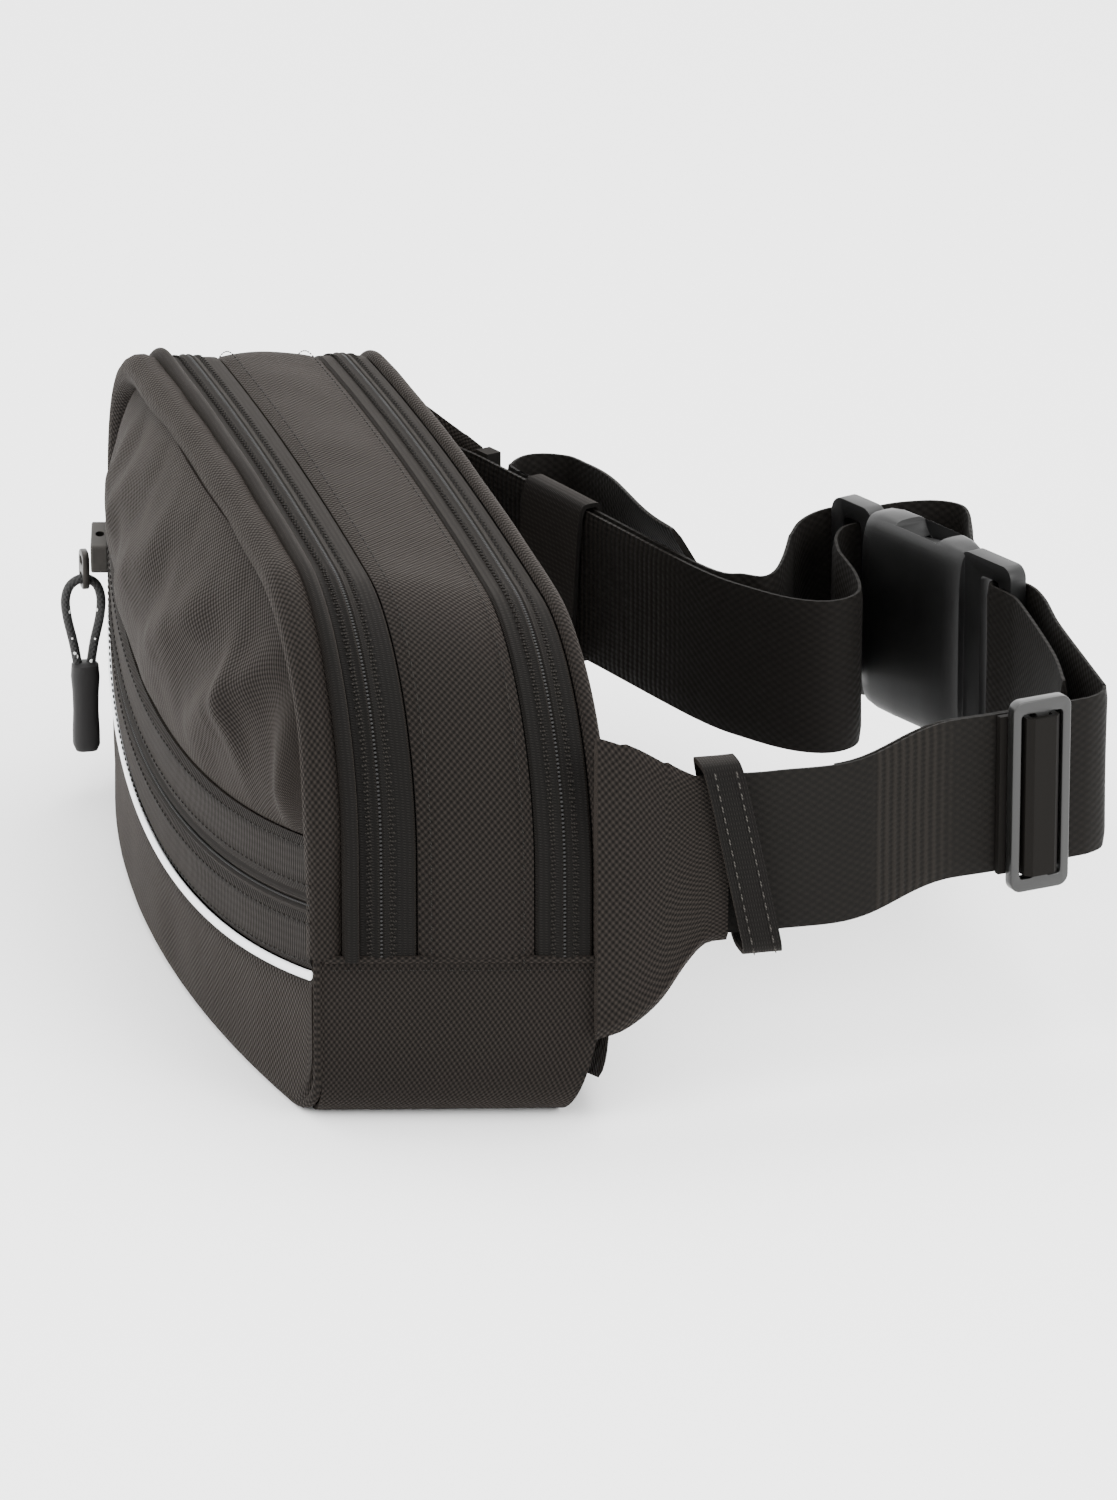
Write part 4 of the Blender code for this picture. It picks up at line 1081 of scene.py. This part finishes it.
def make_back():
    inset, foot = 5 * MM, 3 * MM
    outline = []
    for p, _ in arch(PAD_BACK, -inset, foot):
        under = max(0.0, foot + 22 * MM - p.z) / (22 * MM)
        outline.append((p.x - math.copysign(22 * MM * (1 - math.sqrt(max(0.0, 1 - under ** 2))), p.x), p.z))
    centre = Vector((0, 0, 52 * MM))
    rows = []
    rings = 16
    for k in range(rings + 1):
        share = k / rings
        dome = (1 - (1 - share) ** 3)
        ring = []
        for x, z in outline + [(-outline[0][0] + (2 * outline[0][0]) * s / 24, foot) for s in range(1, 24)]:
            px, pz = centre.x + (x - centre.x) * (1 - share), centre.z + (z - centre.z) * (1 - share)
            ring.append(Vector((px, PAD_FRONT + (PAD_BACK - PAD_FRONT) * min(1.0, dome * 1.02), pz)))
        rows.append(ring)
    obj = grid_piece("back_pad", rows[:-1], ring=True, caps=True)
    face_out(obj)
    layer = obj.data.uv_layers[UV_NAME].data
    for loop in obj.data.loops:
        place = obj.data.vertices[loop.vertex_index].co
        layer[loop.index].uv = (place.x, place.z)
    return dress(obj, BACK_MESH, "bag", ("back_panel",))


make_back()


def liner(name, y, inset, foot, slope, material, stands_for=()):
    """A sheet across the bag inside its arch; slope draws its lower edge forward."""
    rows = []
    for k in range(13):
        share = 0.98 * k / 12
        row = []
        for p, _ in arch(y, -inset, foot):
            z = 55 * MM + (p.z - 55 * MM) * (1 - share)
            low = max(0.0, 1 - z / SEAM_Z)
            under = min(1.0, max(0.0, 1 - p.z / CORNER_RADIUS))
            tuck = (CORNER_RADIUS + 2 * MM) * (1 - math.sqrt(1 - under ** 2))
            row.append(Vector(((p.x - math.copysign(tuck, p.x)) * (1 - share), y - slope * low ** 1.6, z)))
        rows.append(row)
    obj = grid_piece(name, rows, ring=True)
    face_out(obj, (0, 1, 0))
    thicken(obj, 1.0 * MM)
    return dress(obj, material, "bag", stands_for)


divider_low, divider_high = (Vector(corner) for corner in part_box("divider_panel"))
liner("divider_lining", (divider_low.y + divider_high.y) / 2, 4 * MM, 4 * MM, 0.0, LINING,
      ("divider_panel",))
liner("back_liner", 16.2 * MM, 1.6 * MM, 1.4 * MM, 9 * MM, TAPE_CLOTH)
print("back pad")

# %% [markdown]
# ## Webbing runs
# The belt stands on edge and is swept along the same routes as the solids, with a rounded selvedge.


# %% Routes
ROUTE_STEP = 1.6 * MM
NEAR_RUN = [(129, 28.5, 0), (127.9, 40, 0), (127.2, 62, 0), (122, 90, 1), (116.75, 111.5, 1),
            (112.2, 130.1, 1), (110.8, 134.6, 1), (108, 138.2, 1), (104.6, 139.6, 1)]
RIGHT_LOOP = [(104.1, 139.8, 1), (86, 140.4, 1), (60, 141.4, 1), (44, 143, 1), (34.6, 142.9, 1),
              (29.6, 141, 1), (26.8, 138.2, 1), (27.2, 135.4, 1), (29.8, 133.6, 1),
              (33.8, 134.6, 1), (38, 136, 1), (46, 136.6, 1), (79, 134.6, 1), (99, 131.6, 1)]
LEFT_RUN = [(-120, 35.6, 0), (-109.4, 40.2, 0), (-99, 43.9, 0), (-55, 58.5, 0), (-11, 73.1, 0),
            (7, 81.6, 0.1), (18.5, 89.6, 0.2), (23, 97.5, 0.3), (19.5, 104.2, 0.4),
            (10, 106.2, 0.6), (-4, 105.9, 0.8)]
BAR_LOOP = [(-4.6, 105.9, 0.8), (-13, 107.4, 0.9), (-18.6, 110.6, 1), (-21, 114.6, 1),
            (-23.4, 119.2, 1), (-28, 119.3, 1), (-32.8, 116.6, 1), (-33.6, 112.4, 1),
            (-32.2, 107.2, 0.9), (-27.6, 102.2, 0.8), (-20.4, 98.2, 0.7)]
TAIL_RUN = [(-19.9, 97.9, 0.7), (-9, 93.6, 0.5), (0, 89.2, 0.4), (2.2, 85.6, 0.3), (-2, 81.8, 0.2),
            (-11.7, 75.2, 0), (-55.7, 60.6, 0), (-92.7, 48.3, 0), (-99.6, 48.4, 0),
            (-104.6, 53.6, 0), (-103, 60.6, 0), (-95, 65.4, 0), (-60, 73.2, 0), (-27, 79.6, 0)]
BELT_FRONT_Z, BELT_BACK_Z = 61 * MM, 66 * MM
BELT_WIDTH, BELT_THICKNESS = 38 * MM, 1.6 * MM


def belt_point(x, y, climb):
    return Vector((x * MM, y * MM, BELT_FRONT_Z + (BELT_BACK_Z - BELT_FRONT_Z) * climb))


def smooth_route(points, step):
    """Points a step apart along a smooth curve through the given ones."""
    padded = [2 * points[0] - points[1]] + points + [2 * points[-1] - points[-2]]
    route = []
    for a, b, c, d in zip(padded, padded[1:], padded[2:], padded[3:]):
        count = max(1, round((c - b).length / step))
        for index in range(count):
            t = index / count
            route.append(0.5 * (2 * b + (c - a) * t + (2 * a - 5 * b + 4 * c - d) * t ** 2
                                + (3 * b - a - 3 * c + d) * t ** 3))
    return route + [points[-1]]


def belt_route(run, step=ROUTE_STEP):
    return smooth_route([belt_point(*point) for point in run], step)


def side_of(route, index):
    """Level direction across the webbing's thickness at a point of its route."""
    ahead, behind = route[min(index + 1, len(route) - 1)], route[max(index - 1, 0)]
    run = (ahead - behind).xy.normalized()
    return Vector((run.y, -run.x, 0))


print("near run", round(measure(belt_route(NEAR_RUN))[-1] / MM), "mm")


# %% Webbing sweep
def smoothstep(value, low, high):
    share = min(1.0, max(0.0, (value - low) / (high - low)))
    return share * share * (3 - 2 * share)


def webbing(name, route, ribs, body="bag", stands_for=(), shift=0.0, lean=None, width=BELT_WIDTH,
            thickness=BELT_THICKNESS):
    """Webbing on edge; ribs(share of its length) is 1 for cross ribs; lean(share) tips its width."""
    lengths = measure(route)
    rows, shares = [], []
    across = 12
    for index, point in enumerate(route):
        share = lengths[index] / lengths[-1]
        side = side_of(route, index)
        tip = lean(share) if lean else 0.0
        up = (Vector((0, 0, 1)) * math.cos(tip) + side * math.sin(tip)).normalized()
        out = (side * math.cos(tip) - Vector((0, 0, 1)) * math.sin(tip)).normalized()
        centre = point + side * shift
        ring = []
        for face in (1, -1):
            for k in range(across + 1):
                height_share = (2 * k / across - 1) * face
                thin = 0.45 if k in (0, across) else 1.0
                cup = -0.2 * MM * math.cos(height_share * math.pi / 2)
                stand = thickness / 2 * thin * face + cup
                ring.append(centre + up * width / 2 * height_share + out * stand)
        rows.append(ring)
        shares += [share] * len(ring)
    obj = face_out(grid_piece(name, rows, ring=True, caps=True))
    painted = obj.data.attributes.new(RIB_NAME, "FLOAT", "POINT")
    for slot_rib, share in zip(painted.data, shares):
        slot_rib.value = ribs(share)
    return dress(obj, WEBBING, body, stands_for, sharp=60)


def near_ribs(share):
    return smoothstep(share, 0.43, 0.45) * (1 - smoothstep(share, 0.52, 0.64))


def left_ribs(share):
    return 1 - smoothstep(share, 0.42, 0.62)


def no_ribs(share):
    return 0.0


near_route = belt_route(NEAR_RUN + [(103.2, 139.85, 1)])
for point in near_route:
    point.z -= 3.0 * MM * math.sin(math.pi * smoothstep(point.y, 0.056, 0.100))
webbing("webbing_near", near_route, near_ribs, stands_for=("webbing_right",))
backing_route = [point for point in near_route if 0.070 < point.y < 0.124]
webbing("webbing_near_backing", backing_route, no_ribs, shift=-2.0 * MM, width=37 * MM)
webbing("webbing_back_run", belt_route(RIGHT_LOOP), no_ribs, stands_for=("webbing_right_loop",))
left_strap = webbing("webbing_far", belt_route(LEFT_RUN), left_ribs, None, ("webbing_left",))
tail_strap = webbing("webbing_far_inner", belt_route([(-20.8, 98.4, 0.7)] + TAIL_RUN[:8]), no_ribs, None)
print("webbing runs")


# %% Tail, bar loop and the spare loop
def tail_lean(share):
    return math.radians(30) * smoothstep(share, 0.35, 0.95)


tail_route = belt_route(TAIL_RUN)
curl_from = next(k for k, p in enumerate(tail_route) if p.x < -88 * MM)
tail_route = tail_route[curl_from:]
for index, point in enumerate(tail_route):
    point.z += 8 * MM * smoothstep(index / len(tail_route), 0.3, 1.0)
webbing("webbing_far_tail", tail_route, lambda share: 0.35 * share, lean=tail_lean,
        stands_for=("webbing_left_tail",))
webbing("buckle_bar_webbing", belt_route([(-3.6, 105.9, 0.8)] + BAR_LOOP), no_ribs,
        "buckle_male_body", ("webbing_bar_loop",))
SPARE_LOOP = [(-34.4, 121.5, 1), (-36.4, 130, 1), (-35.6, 138.5, 1), (-31, 143.4, 1), (-23, 143.2, 1),
              (-12, 140.4, 1), (-4, 138.8, 1)]
webbing("buckle_spare_webbing", belt_route(SPARE_LOOP), no_ribs, "buckle_male_body", width=36 * MM)
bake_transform(left_strap)
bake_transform(tail_strap)
print("tail and loops")


# %% [markdown]
# ## Wings, keepers and adjuster
# A wing is two layers of pack cloth turned at the edges. The near keeper is a loose, creased loop that
# sits askew, the far one a smooth band. The adjuster is a bright moulded frame.

# %% Wings
def make_wing(name, side, stands_for):
    """Cloth wing from the back seam to the webbing, with a turned edge above and below."""
    if side > 0:
        plan = [(134.0, 13.0), (133.9, 20), (132.7, 28), (131.9, 34.5), (131.6, 39), (131.2, 44)]
        lows = [21.0, 22.8, 28.2, 36.6, 41.0, 41.4]
        highs = [93.5, 90.5, 85.5, 82.6, 81.0, 80.4]
    else:
        plan = [(-134.0, 14.0), (-134.2, 21), (-132.5, 31), (-124, 38.2), (-111, 43.2)]
        lows = [21.0, 22.5, 28.0, 36.5, 41.0]
        highs = [93.5, 91.0, 87.0, 83.0, 80.8]
    line = smooth_route([Vector((x, y, low)) * MM for (x, y), low in zip(plan, lows)], 1.5 * MM)
    tops = smooth_route([Vector((x, y, high)) * MM for (x, y), high in zip(plan, highs)], 1.5 * MM)
    rows = []
    across = 22
    for index in range(0, len(line)):
        point, low = line[index], line[index].z
        high = tops[round(index * (len(tops) - 1) / (len(line) - 1))].z
        out = side_of(line, index)
        out = out if out.x * side > 0 else -out
        ring = []
        for face in (1, -1):
            for k in range(across + 1):
                share = k / across if face > 0 else 1 - k / across
                z = low + (high - low) * share
                here = Vector((point.x, point.y, z))
                slim = 1.0 - 0.4 * index / (len(line) - 1)
                puff = slim * 2.0 * MM * math.sin(math.pi * min(1.0, max(0.0, share))) ** 0.3
                edge = slim * 0.6 * MM if k in (1, across - 1) else 0.0
                wave = (2 * slim - 1) * 0.5 * MM * soft(here, 16 * MM, 41.0)
                ring.append(Vector((here.x, here.y, z)) + out * (face * (puff + edge) + wave))
        rows.append(ring)
    obj = face_out(grid_piece(name, rows, ring=True, caps=True))
    return dress(obj, PACK_CLOTH, "bag", stands_for)


make_wing("wing_right_cloth", 1, ("wing_right", "wing_binding_right"))
make_wing("wing_left_cloth", -1, ("wing_left",))


def repaint(name, material):
    """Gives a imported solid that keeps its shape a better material."""
    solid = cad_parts[name]
    solid.data.materials.clear()
    solid.data.materials.append(material)
    return solid


repaint("wing_binding_left", TAPE_CLOTH)
print("wings")


# %% Keepers
def make_keeper(name, node, body, tilt, grow, stands_for, rows_of_stitches):
    """A loop of tape round the belt, tipped along it; its place is the node's own box and run."""
    low, high = (Vector(corner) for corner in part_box(node))
    centre = (low + high) / 2
    centre.y -= 4.5 * MM if centre.x > 0 else 0.0
    run = Vector((-0.0318, 0.9995, 0)) if centre.x > 0 else Vector((0.9492, 0.3147, 0))
    side = Vector((run.y, -run.x, 0))
    length = 9 * MM if centre.x > 0 else 26 * MM
    tall = (high.z - low.z) / 2 + (2.4 * MM if centre.x > 0 else 0.0)
    deep = (2.1 * MM if centre.x > 0 else 3.1 * MM) + grow
    centre += side * (1.7 * MM if centre.x > 0 else 0.0)
    rows = []
    for i in range(13):
        along = length * (i / 12 - 0.5)
        ring = []
        for k in range(48):
            turn = 2 * math.pi * k / 48
            up = math.copysign(abs(math.sin(turn)) ** 0.35, math.sin(turn)) * tall
            out = math.copysign(abs(math.cos(turn)) ** 0.45, math.cos(turn)) * deep
            lean = -tilt * up / tall
            here = centre + run * (along + lean) + Vector((0, 0, up)) + side * out
            if centre.x > 0:
                crease = 0.5 * MM * soft(here, 9 * MM, 51.0)
            else:
                crease = 0.15 * MM * soft(here, 20 * MM, 3)
            ring.append(here + side * crease)
        rows.append(ring)
    obj = face_out(grid_piece(name, rows, ring=True))
    thicken(obj, 1.1 * MM)
    dress(obj, TAPE_CLOTH, body, stands_for)
    lines = []
    for share in rows_of_stitches:
        line = []
        for k in range(31):
            up = tall * 0.92 * (2 * k / 30 - 1)
            sign = 1 if centre.x > 0 else -1
            out = side * sign if centre.x > 0 else side
            here = centre + run * (length * share - tilt * up / tall) + Vector((0, 0, up))
            line.append((here + out * (deep + 0.35 * MM), out))
        lines.append(line)
    if lines:
        beads(name + "_stitches", lines, 2.6 * MM, (2.0 * MM, 0.4 * MM, 0.35 * MM),
              PALE_THREAD if centre.x > 0 else THREAD, body, "zip_tape")


make_keeper("keeper_right_loop", "keeper_right", "keeper_right_body", 5.0 * MM, 3.8 * MM,
            ("keeper_right",), (-0.28, 0.28))
make_keeper("keeper_left_band", "keeper_left", "keeper_left_body", -2.0 * MM, 0.6 * MM,
            ("keeper_left",), ())
print("keepers")


# %% Hard parts: outlines and plates
def rounded_outline(half_long, half_tall, radius, steps=6):
    """Corner points of a rounded rectangle, in its own plane."""
    points = []
    for sx, sz, first in ((1, 1, 0), (-1, 1, 1), (-1, -1, 2), (1, -1, 3)):
        for k in range(steps + 1):
            turn = math.pi / 2 * (first + k / steps)
            points.append((sx * (half_long - radius) + radius * math.cos(turn),
                           sz * (half_tall - radius) + radius * math.sin(turn)))
    return points


def slab(name, outline, thickness, matrix):
    """A flat shape of the given outline in X and Z, thick along Y."""
    mesh = bpy.data.meshes.new(name)
    count = len(outline)
    points = [Vector((x, -thickness / 2, z)) for x, z in outline]
    points += [Vector((x, thickness / 2, z)) for x, z in outline]
    faces = [tuple(range(count)), tuple(reversed(range(count, 2 * count)))]
    faces += [(k, k + count, (k + 1) % count + count, (k + 1) % count) for k in range(count)]
    mesh.from_pydata([matrix @ point for point in points], [], faces)
    mesh.uv_layers.new(name=UV_NAME)
    return face_out(link_mesh(name, mesh))


def combine(obj, other, operation):
    modifier = obj.modifiers.new(operation, "BOOLEAN")
    modifier.operation = operation
    modifier.solver = "EXACT"
    modifier.object = other
    bake_modifiers(obj)
    bpy.data.objects.remove(other)


def round_edges(obj, width, segments=3):
    edge = obj.modifiers.new("edge", "BEVEL")
    edge.width = width
    edge.segments = segments
    edge.limit_method = "ANGLE"
    edge.angle_limit = math.radians(32)
    edge.use_clamp_overlap = True
    return bake_modifiers(obj)


def matrix_from(run, origin):
    """A frame with X along a level run, Z up, at an origin."""
    return Matrix(((run.x, -run.y, 0, origin.x), (run.y, run.x, 0, origin.y), (0, 0, 1, origin.z),
                   (0, 0, 0, 1)))


print("plate helpers ready")

# %% Tri-glide
GLIDE_RUN = Vector((-0.237402, 0.971411, 0))


def make_glide():
    low, high = (Vector(corner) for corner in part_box("tri_glide"))
    place = matrix_from(GLIDE_RUN, (low + high) / 2)
    tall = (high.z - low.z) / 2
    body = slab("adjuster_frame", rounded_outline(7.5 * MM, tall, 2.6 * MM), 3.0 * MM, place)
    for side in (-1, 1):
        x = side * 3.45 * MM
        opening = slab("opening", rounded_outline(1.85 * MM, tall - 3.2 * MM, 0.9 * MM), 9 * MM,
                       place @ Matrix.Translation((x, 0, 0)))
        combine(body, opening, "DIFFERENCE")
    round_edges(body, 0.85 * MM)
    dress(body, GLIDE_PLASTIC, "adjuster", ("tri_glide",))


make_glide()
repaint("webbing_sewn_end", WEBBING)
print("adjuster")


# %% [markdown]
# ## Side-release buckle
# The female half is a smooth shell with a scooped window at each side, where the prongs' shoulders
# stand. The male half is a frame whose arms run into those prongs.

# %% Buckle
BUCKLE = Matrix.Translation(belt_point(2, 126, 1)) @ Matrix.Rotation(math.radians(22), 4, "Z")


def shell_section(s, half_tall, half_thick, count=40):
    """A soft-cornered section across the buckle at s."""
    ring = []
    for k in range(count):
        turn = 2 * math.pi * k / count
        z = math.copysign(abs(math.cos(turn)) ** 0.4, math.cos(turn)) * half_tall
        t = math.copysign(abs(math.sin(turn)) ** 0.5, math.sin(turn)) * half_thick
        ring.append(BUCKLE @ Vector((s, t, z)))
    return ring


def make_female():
    sections = ((-18.5, 23.2, 5.6), (-17.5, 24.2, 6.3), (-14, 24.8, 6.6), (-4, 25, 6.8), (6, 25, 6.7),
                (13, 24.6, 6.2), (16, 24.0, 5.2), (17.4, 23.2, 4.0))
    rows = [shell_section(s * MM, tall * MM, thick * MM) for s, tall, thick in sections]
    body = face_out(grid_piece("buckle_shell", rows, ring=True, caps=True))
    web = slab("web", rounded_outline(9.6 * MM, 24 * MM, 3.0 * MM), 4.6 * MM,
               BUCKLE @ Matrix.Translation((25.4 * MM, 0, 0)))
    combine(body, web, "UNION")
    opening = slab("opening", rounded_outline(3.5 * MM, 19.6 * MM, 1.4 * MM), 20 * MM,
                   BUCKLE @ Matrix.Translation((27.0 * MM, 0, 0)))
    combine(body, opening, "DIFFERENCE")
    socket = slab("socket", rounded_outline(15.6 * MM, 20.4 * MM, 2.0 * MM), 8.6 * MM,
                  BUCKLE @ Matrix.Translation((-3.2 * MM, 0, 0)))
    combine(body, socket, "DIFFERENCE")
    for side in (-1, 1):
        scoop = slab("scoop", rounded_outline(8.2 * MM, 6.2 * MM, 6.0 * MM, 10), 8.8 * MM,
                     BUCKLE @ Matrix.Translation((1.2 * MM, 0, side * 25.4 * MM)))
        combine(body, scoop, "DIFFERENCE")
    round_edges(body, 0.5 * MM, 2)
    dress(body, ACETAL, "bag", ("buckle_female",), sharp=35)


def make_male():
    body = slab("buckle_frame", rounded_outline(8.2 * MM, 23.8 * MM, 4.0 * MM), 4.8 * MM,
                BUCKLE @ Matrix.Translation((-26.9 * MM, 0, 0)))
    opening = slab("opening", rounded_outline(3.5 * MM, 19.6 * MM, 1.4 * MM), 20 * MM,
                   BUCKLE @ Matrix.Translation((-26.7 * MM, 0, 0)))
    combine(body, opening, "DIFFERENCE")
    tongue = slab("tongue", rounded_outline(14.2 * MM, 4.4 * MM, 1.2 * MM), 3.0 * MM,
                  BUCKLE @ Matrix.Translation((-4.6 * MM, 0, 0)))
    combine(body, tongue, "UNION")
    round_edges(body, 0.9 * MM)
    dress(body, ACETAL, "buckle_male_body", ("buckle_male",), sharp=35)


make_female()
make_male()
for name in ("buckle_prong_upper", "buckle_prong_lower"):
    prong = repaint(name, ACETAL)
    prong.data.shade_smooth()
    prong.data.set_sharp_from_angle(angle=math.radians(30))
print("buckle")


# %% [markdown]
# ## Sliders, pulls and their cords
# Each slider has a cast tab with a cord tied through its eye; both ends go into a moulded grip.

# %% Pulls
CORD_DIAMETER = 2.3 * MM
CORD_LOOP = [(-1.2, -29.9), (-2.2, -24), (-3.7, -17.5), (-4.0, -12.6), (-2.7, -9.0), (0.4, -7.5),
             (3.5, -9.0), (4.8, -12.6), (4.4, -17.5), (3.0, -24), (2.0, -29.9)]


def tube(name, points, radius, sides=14):
    """A round tube along points, with its texture map in metres."""
    across = Vector((1, 0, 0)) if max(p.x for p in points) - min(p.x for p in points) < 1 * MM \
        else Vector((0, 1, 0))
    rows = []
    for index, point in enumerate(points):
        run = (points[min(index + 1, len(points) - 1)] - points[max(index - 1, 0)]).normalized()
        up = run.cross(across).normalized()
        rows.append([point + radius * (across * math.cos(2 * math.pi * k / sides)
                                       + up * math.sin(2 * math.pi * k / sides)) for k in range(sides)])
    return face_out(grid_piece(name, rows, ring=True, caps=True))


def make_pull(prefix, body, out, across):
    low, high = (Vector(corner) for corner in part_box(prefix + "_tab"))
    hook = Vector(((low.x + high.x) / 2, (low.y + high.y) / 2, high.z + 0.3 * MM))
    place = Matrix([[across[i], out[i], (0, 0, 1)[i], hook[i]] for i in range(3)] + [[0, 0, 0, 1]])
    route = smooth_route([place @ (Vector((0, y, z)) * MM) for y, z in CORD_LOOP], 0.8 * MM)
    cord = tube(prefix + "_pull_cord", route, CORD_DIAMETER / 2)
    dress(cord, CORD_CLOTH, body, (prefix + "_cord",))
    rows = []
    for drop, wide, thick in ((-29.2, 2.0, 2.6), (-29.8, 2.8, 3.3), (-33, 3.1, 3.5), (-37, 2.7, 3.2),
                              (-42, 2.6, 3.1), (-47, 2.9, 3.3), (-50.5, 3.0, 3.3), (-52, 2.3, 2.7)):
        rows.append([place @ (Vector((wide * math.copysign(abs(math.cos(t)) ** 0.7, math.cos(t)),
                                      0.2 + thick * math.copysign(abs(math.sin(t)) ** 0.7, math.sin(t)),
                                      drop)) * MM)
                     for t in (2 * math.pi * k / 24 for k in range(24))])
    grip = face_out(grid_piece(prefix + "_pull_grip", rows, ring=True, caps=True))
    dress(grip, GRIP_RUBBER, body, (prefix + "_grip",))
    tab = slab(prefix + "_pull_tab", rounded_outline(3.0 * MM, 4.9 * MM, 2.2 * MM), 1.7 * MM,
               place @ Matrix.Translation((0, 0, -5.1 * MM)))
    for z, size in ((-7.4, 1.5), (-2.8, 1.0)):
        eye = slab("eye", rounded_outline(1.6 * MM, size * MM, 0.8 * size * MM), 6 * MM,
                   place @ Matrix.Translation((0, 0, z * MM)))
        combine(tab, eye, "DIFFERENCE")
    round_edges(tab, 0.3 * MM, 2)
    dress(tab, DIECAST, body, (prefix + "_tab",), sharp=35)
    length = measure(route)[-1]
    print(prefix, "cord", round(length / MM, 1), "mm")


make_pull("pocket", "pocket_pull", (0, -1, 0), (-1, 0, 0))
make_pull("front_zip", "front_zip_pull", (-1, 0, 0), (0, 1, 0))
make_pull("rear_zip", "rear_zip_pull", (-1, 0, 0), (0, 1, 0))
for prefix in ("pocket", "front_zip", "rear_zip"):
    repaint(prefix + "_slider", DIECAST)

# %% [markdown]
# ## Stitching
# Rows of thread hold every seam: beside both zips, along the tapes, under the corner seam.

# %% Stitch rows
STITCH = (2.0 * MM, 0.42 * MM, 0.34 * MM)
STITCH_PITCH = 2.8 * MM
gusset_lines = [arch(MIDDLE[0] + 2.6 * MM, 1.35 * MM), arch(MIDDLE[1] - 2.6 * MM, 1.35 * MM)]
beads("gusset_stitches", gusset_lines, STITCH_PITCH, STITCH, THREAD, slot="zip_tape")
tape_lines = [smile_line(lift * MM, 0.85 * MM) for lift in (4.4, 13.6, 22.8, 32.0)]
beads("tape_stitches", tape_lines, STITCH_PITCH, (2.0 * MM, 0.5 * MM, 0.42 * MM), THREAD, slot="zip_tape")


def corner_line(side):
    """Stitches just under the corner seam, from front to back."""
    line = []
    for y in eased(-44 * MM, 15.5 * MM, 40):
        line.append((Vector((side * (half_width(y) + 0.75 * MM), y, SEAM_Z - 2.2 * MM)),
                     Vector((side, 0, 0))))
    return line


beads("corner_stitches", [corner_line(1), corner_line(-1)], STITCH_PITCH, STITCH, THREAD, slot="zip_tape")
ladder = [arch(y, 0.55 * MM) for y in (FRONT_COIL_Y - 2.9 * MM, FRONT_COIL_Y + 2.9 * MM,
                                       REAR_COIL_Y - 2.7 * MM, REAR_COIL_Y + 2.7 * MM)]
beads("ladder_stitches", ladder, 1.9 * MM, (0.5 * MM, 1.2 * MM, 0.3 * MM), THREAD, slot="zip_tape")

# %% Seams of the corner block
def seam_roll(name, points, radius):
    """A turned seam as a thin roll of pack cloth."""
    rows = []
    for index, point in enumerate(points):
        run = (points[min(index + 1, len(points) - 1)] - points[max(index - 1, 0)]).normalized()
        across = run.cross(Vector((0.3, 0.5, 0.81))).normalized()
        up = run.cross(across).normalized()
        rows.append([point + radius * (across * math.cos(2 * math.pi * k / 10)
                                       + up * math.sin(2 * math.pi * k / 10)) for k in range(10)])
    return dress(face_out(grid_piece(name, rows, ring=True, caps=True)), PACK_CLOTH)


front_seam = [Vector((p.x, front_y(p.x, 0) + 1.4 * MM, max(p.z, 1.3 * MM)))
              for p, _ in bottom_path(SEAM_Y - 5 * MM, -1.6 * MM)]
seam_roll("front_bottom_seam", front_seam, 1.3 * MM)
for side, label in ((1, "right"), (-1, "left")):
    seam = [Vector((side * (half_width(y) + 0.1 * MM), y, SEAM_Z + 0.2 * MM))
            for y in eased(-46 * MM, 16 * MM, 40)]
    seam_roll("corner_seam_" + label, seam, 0.9 * MM)
print("seams")
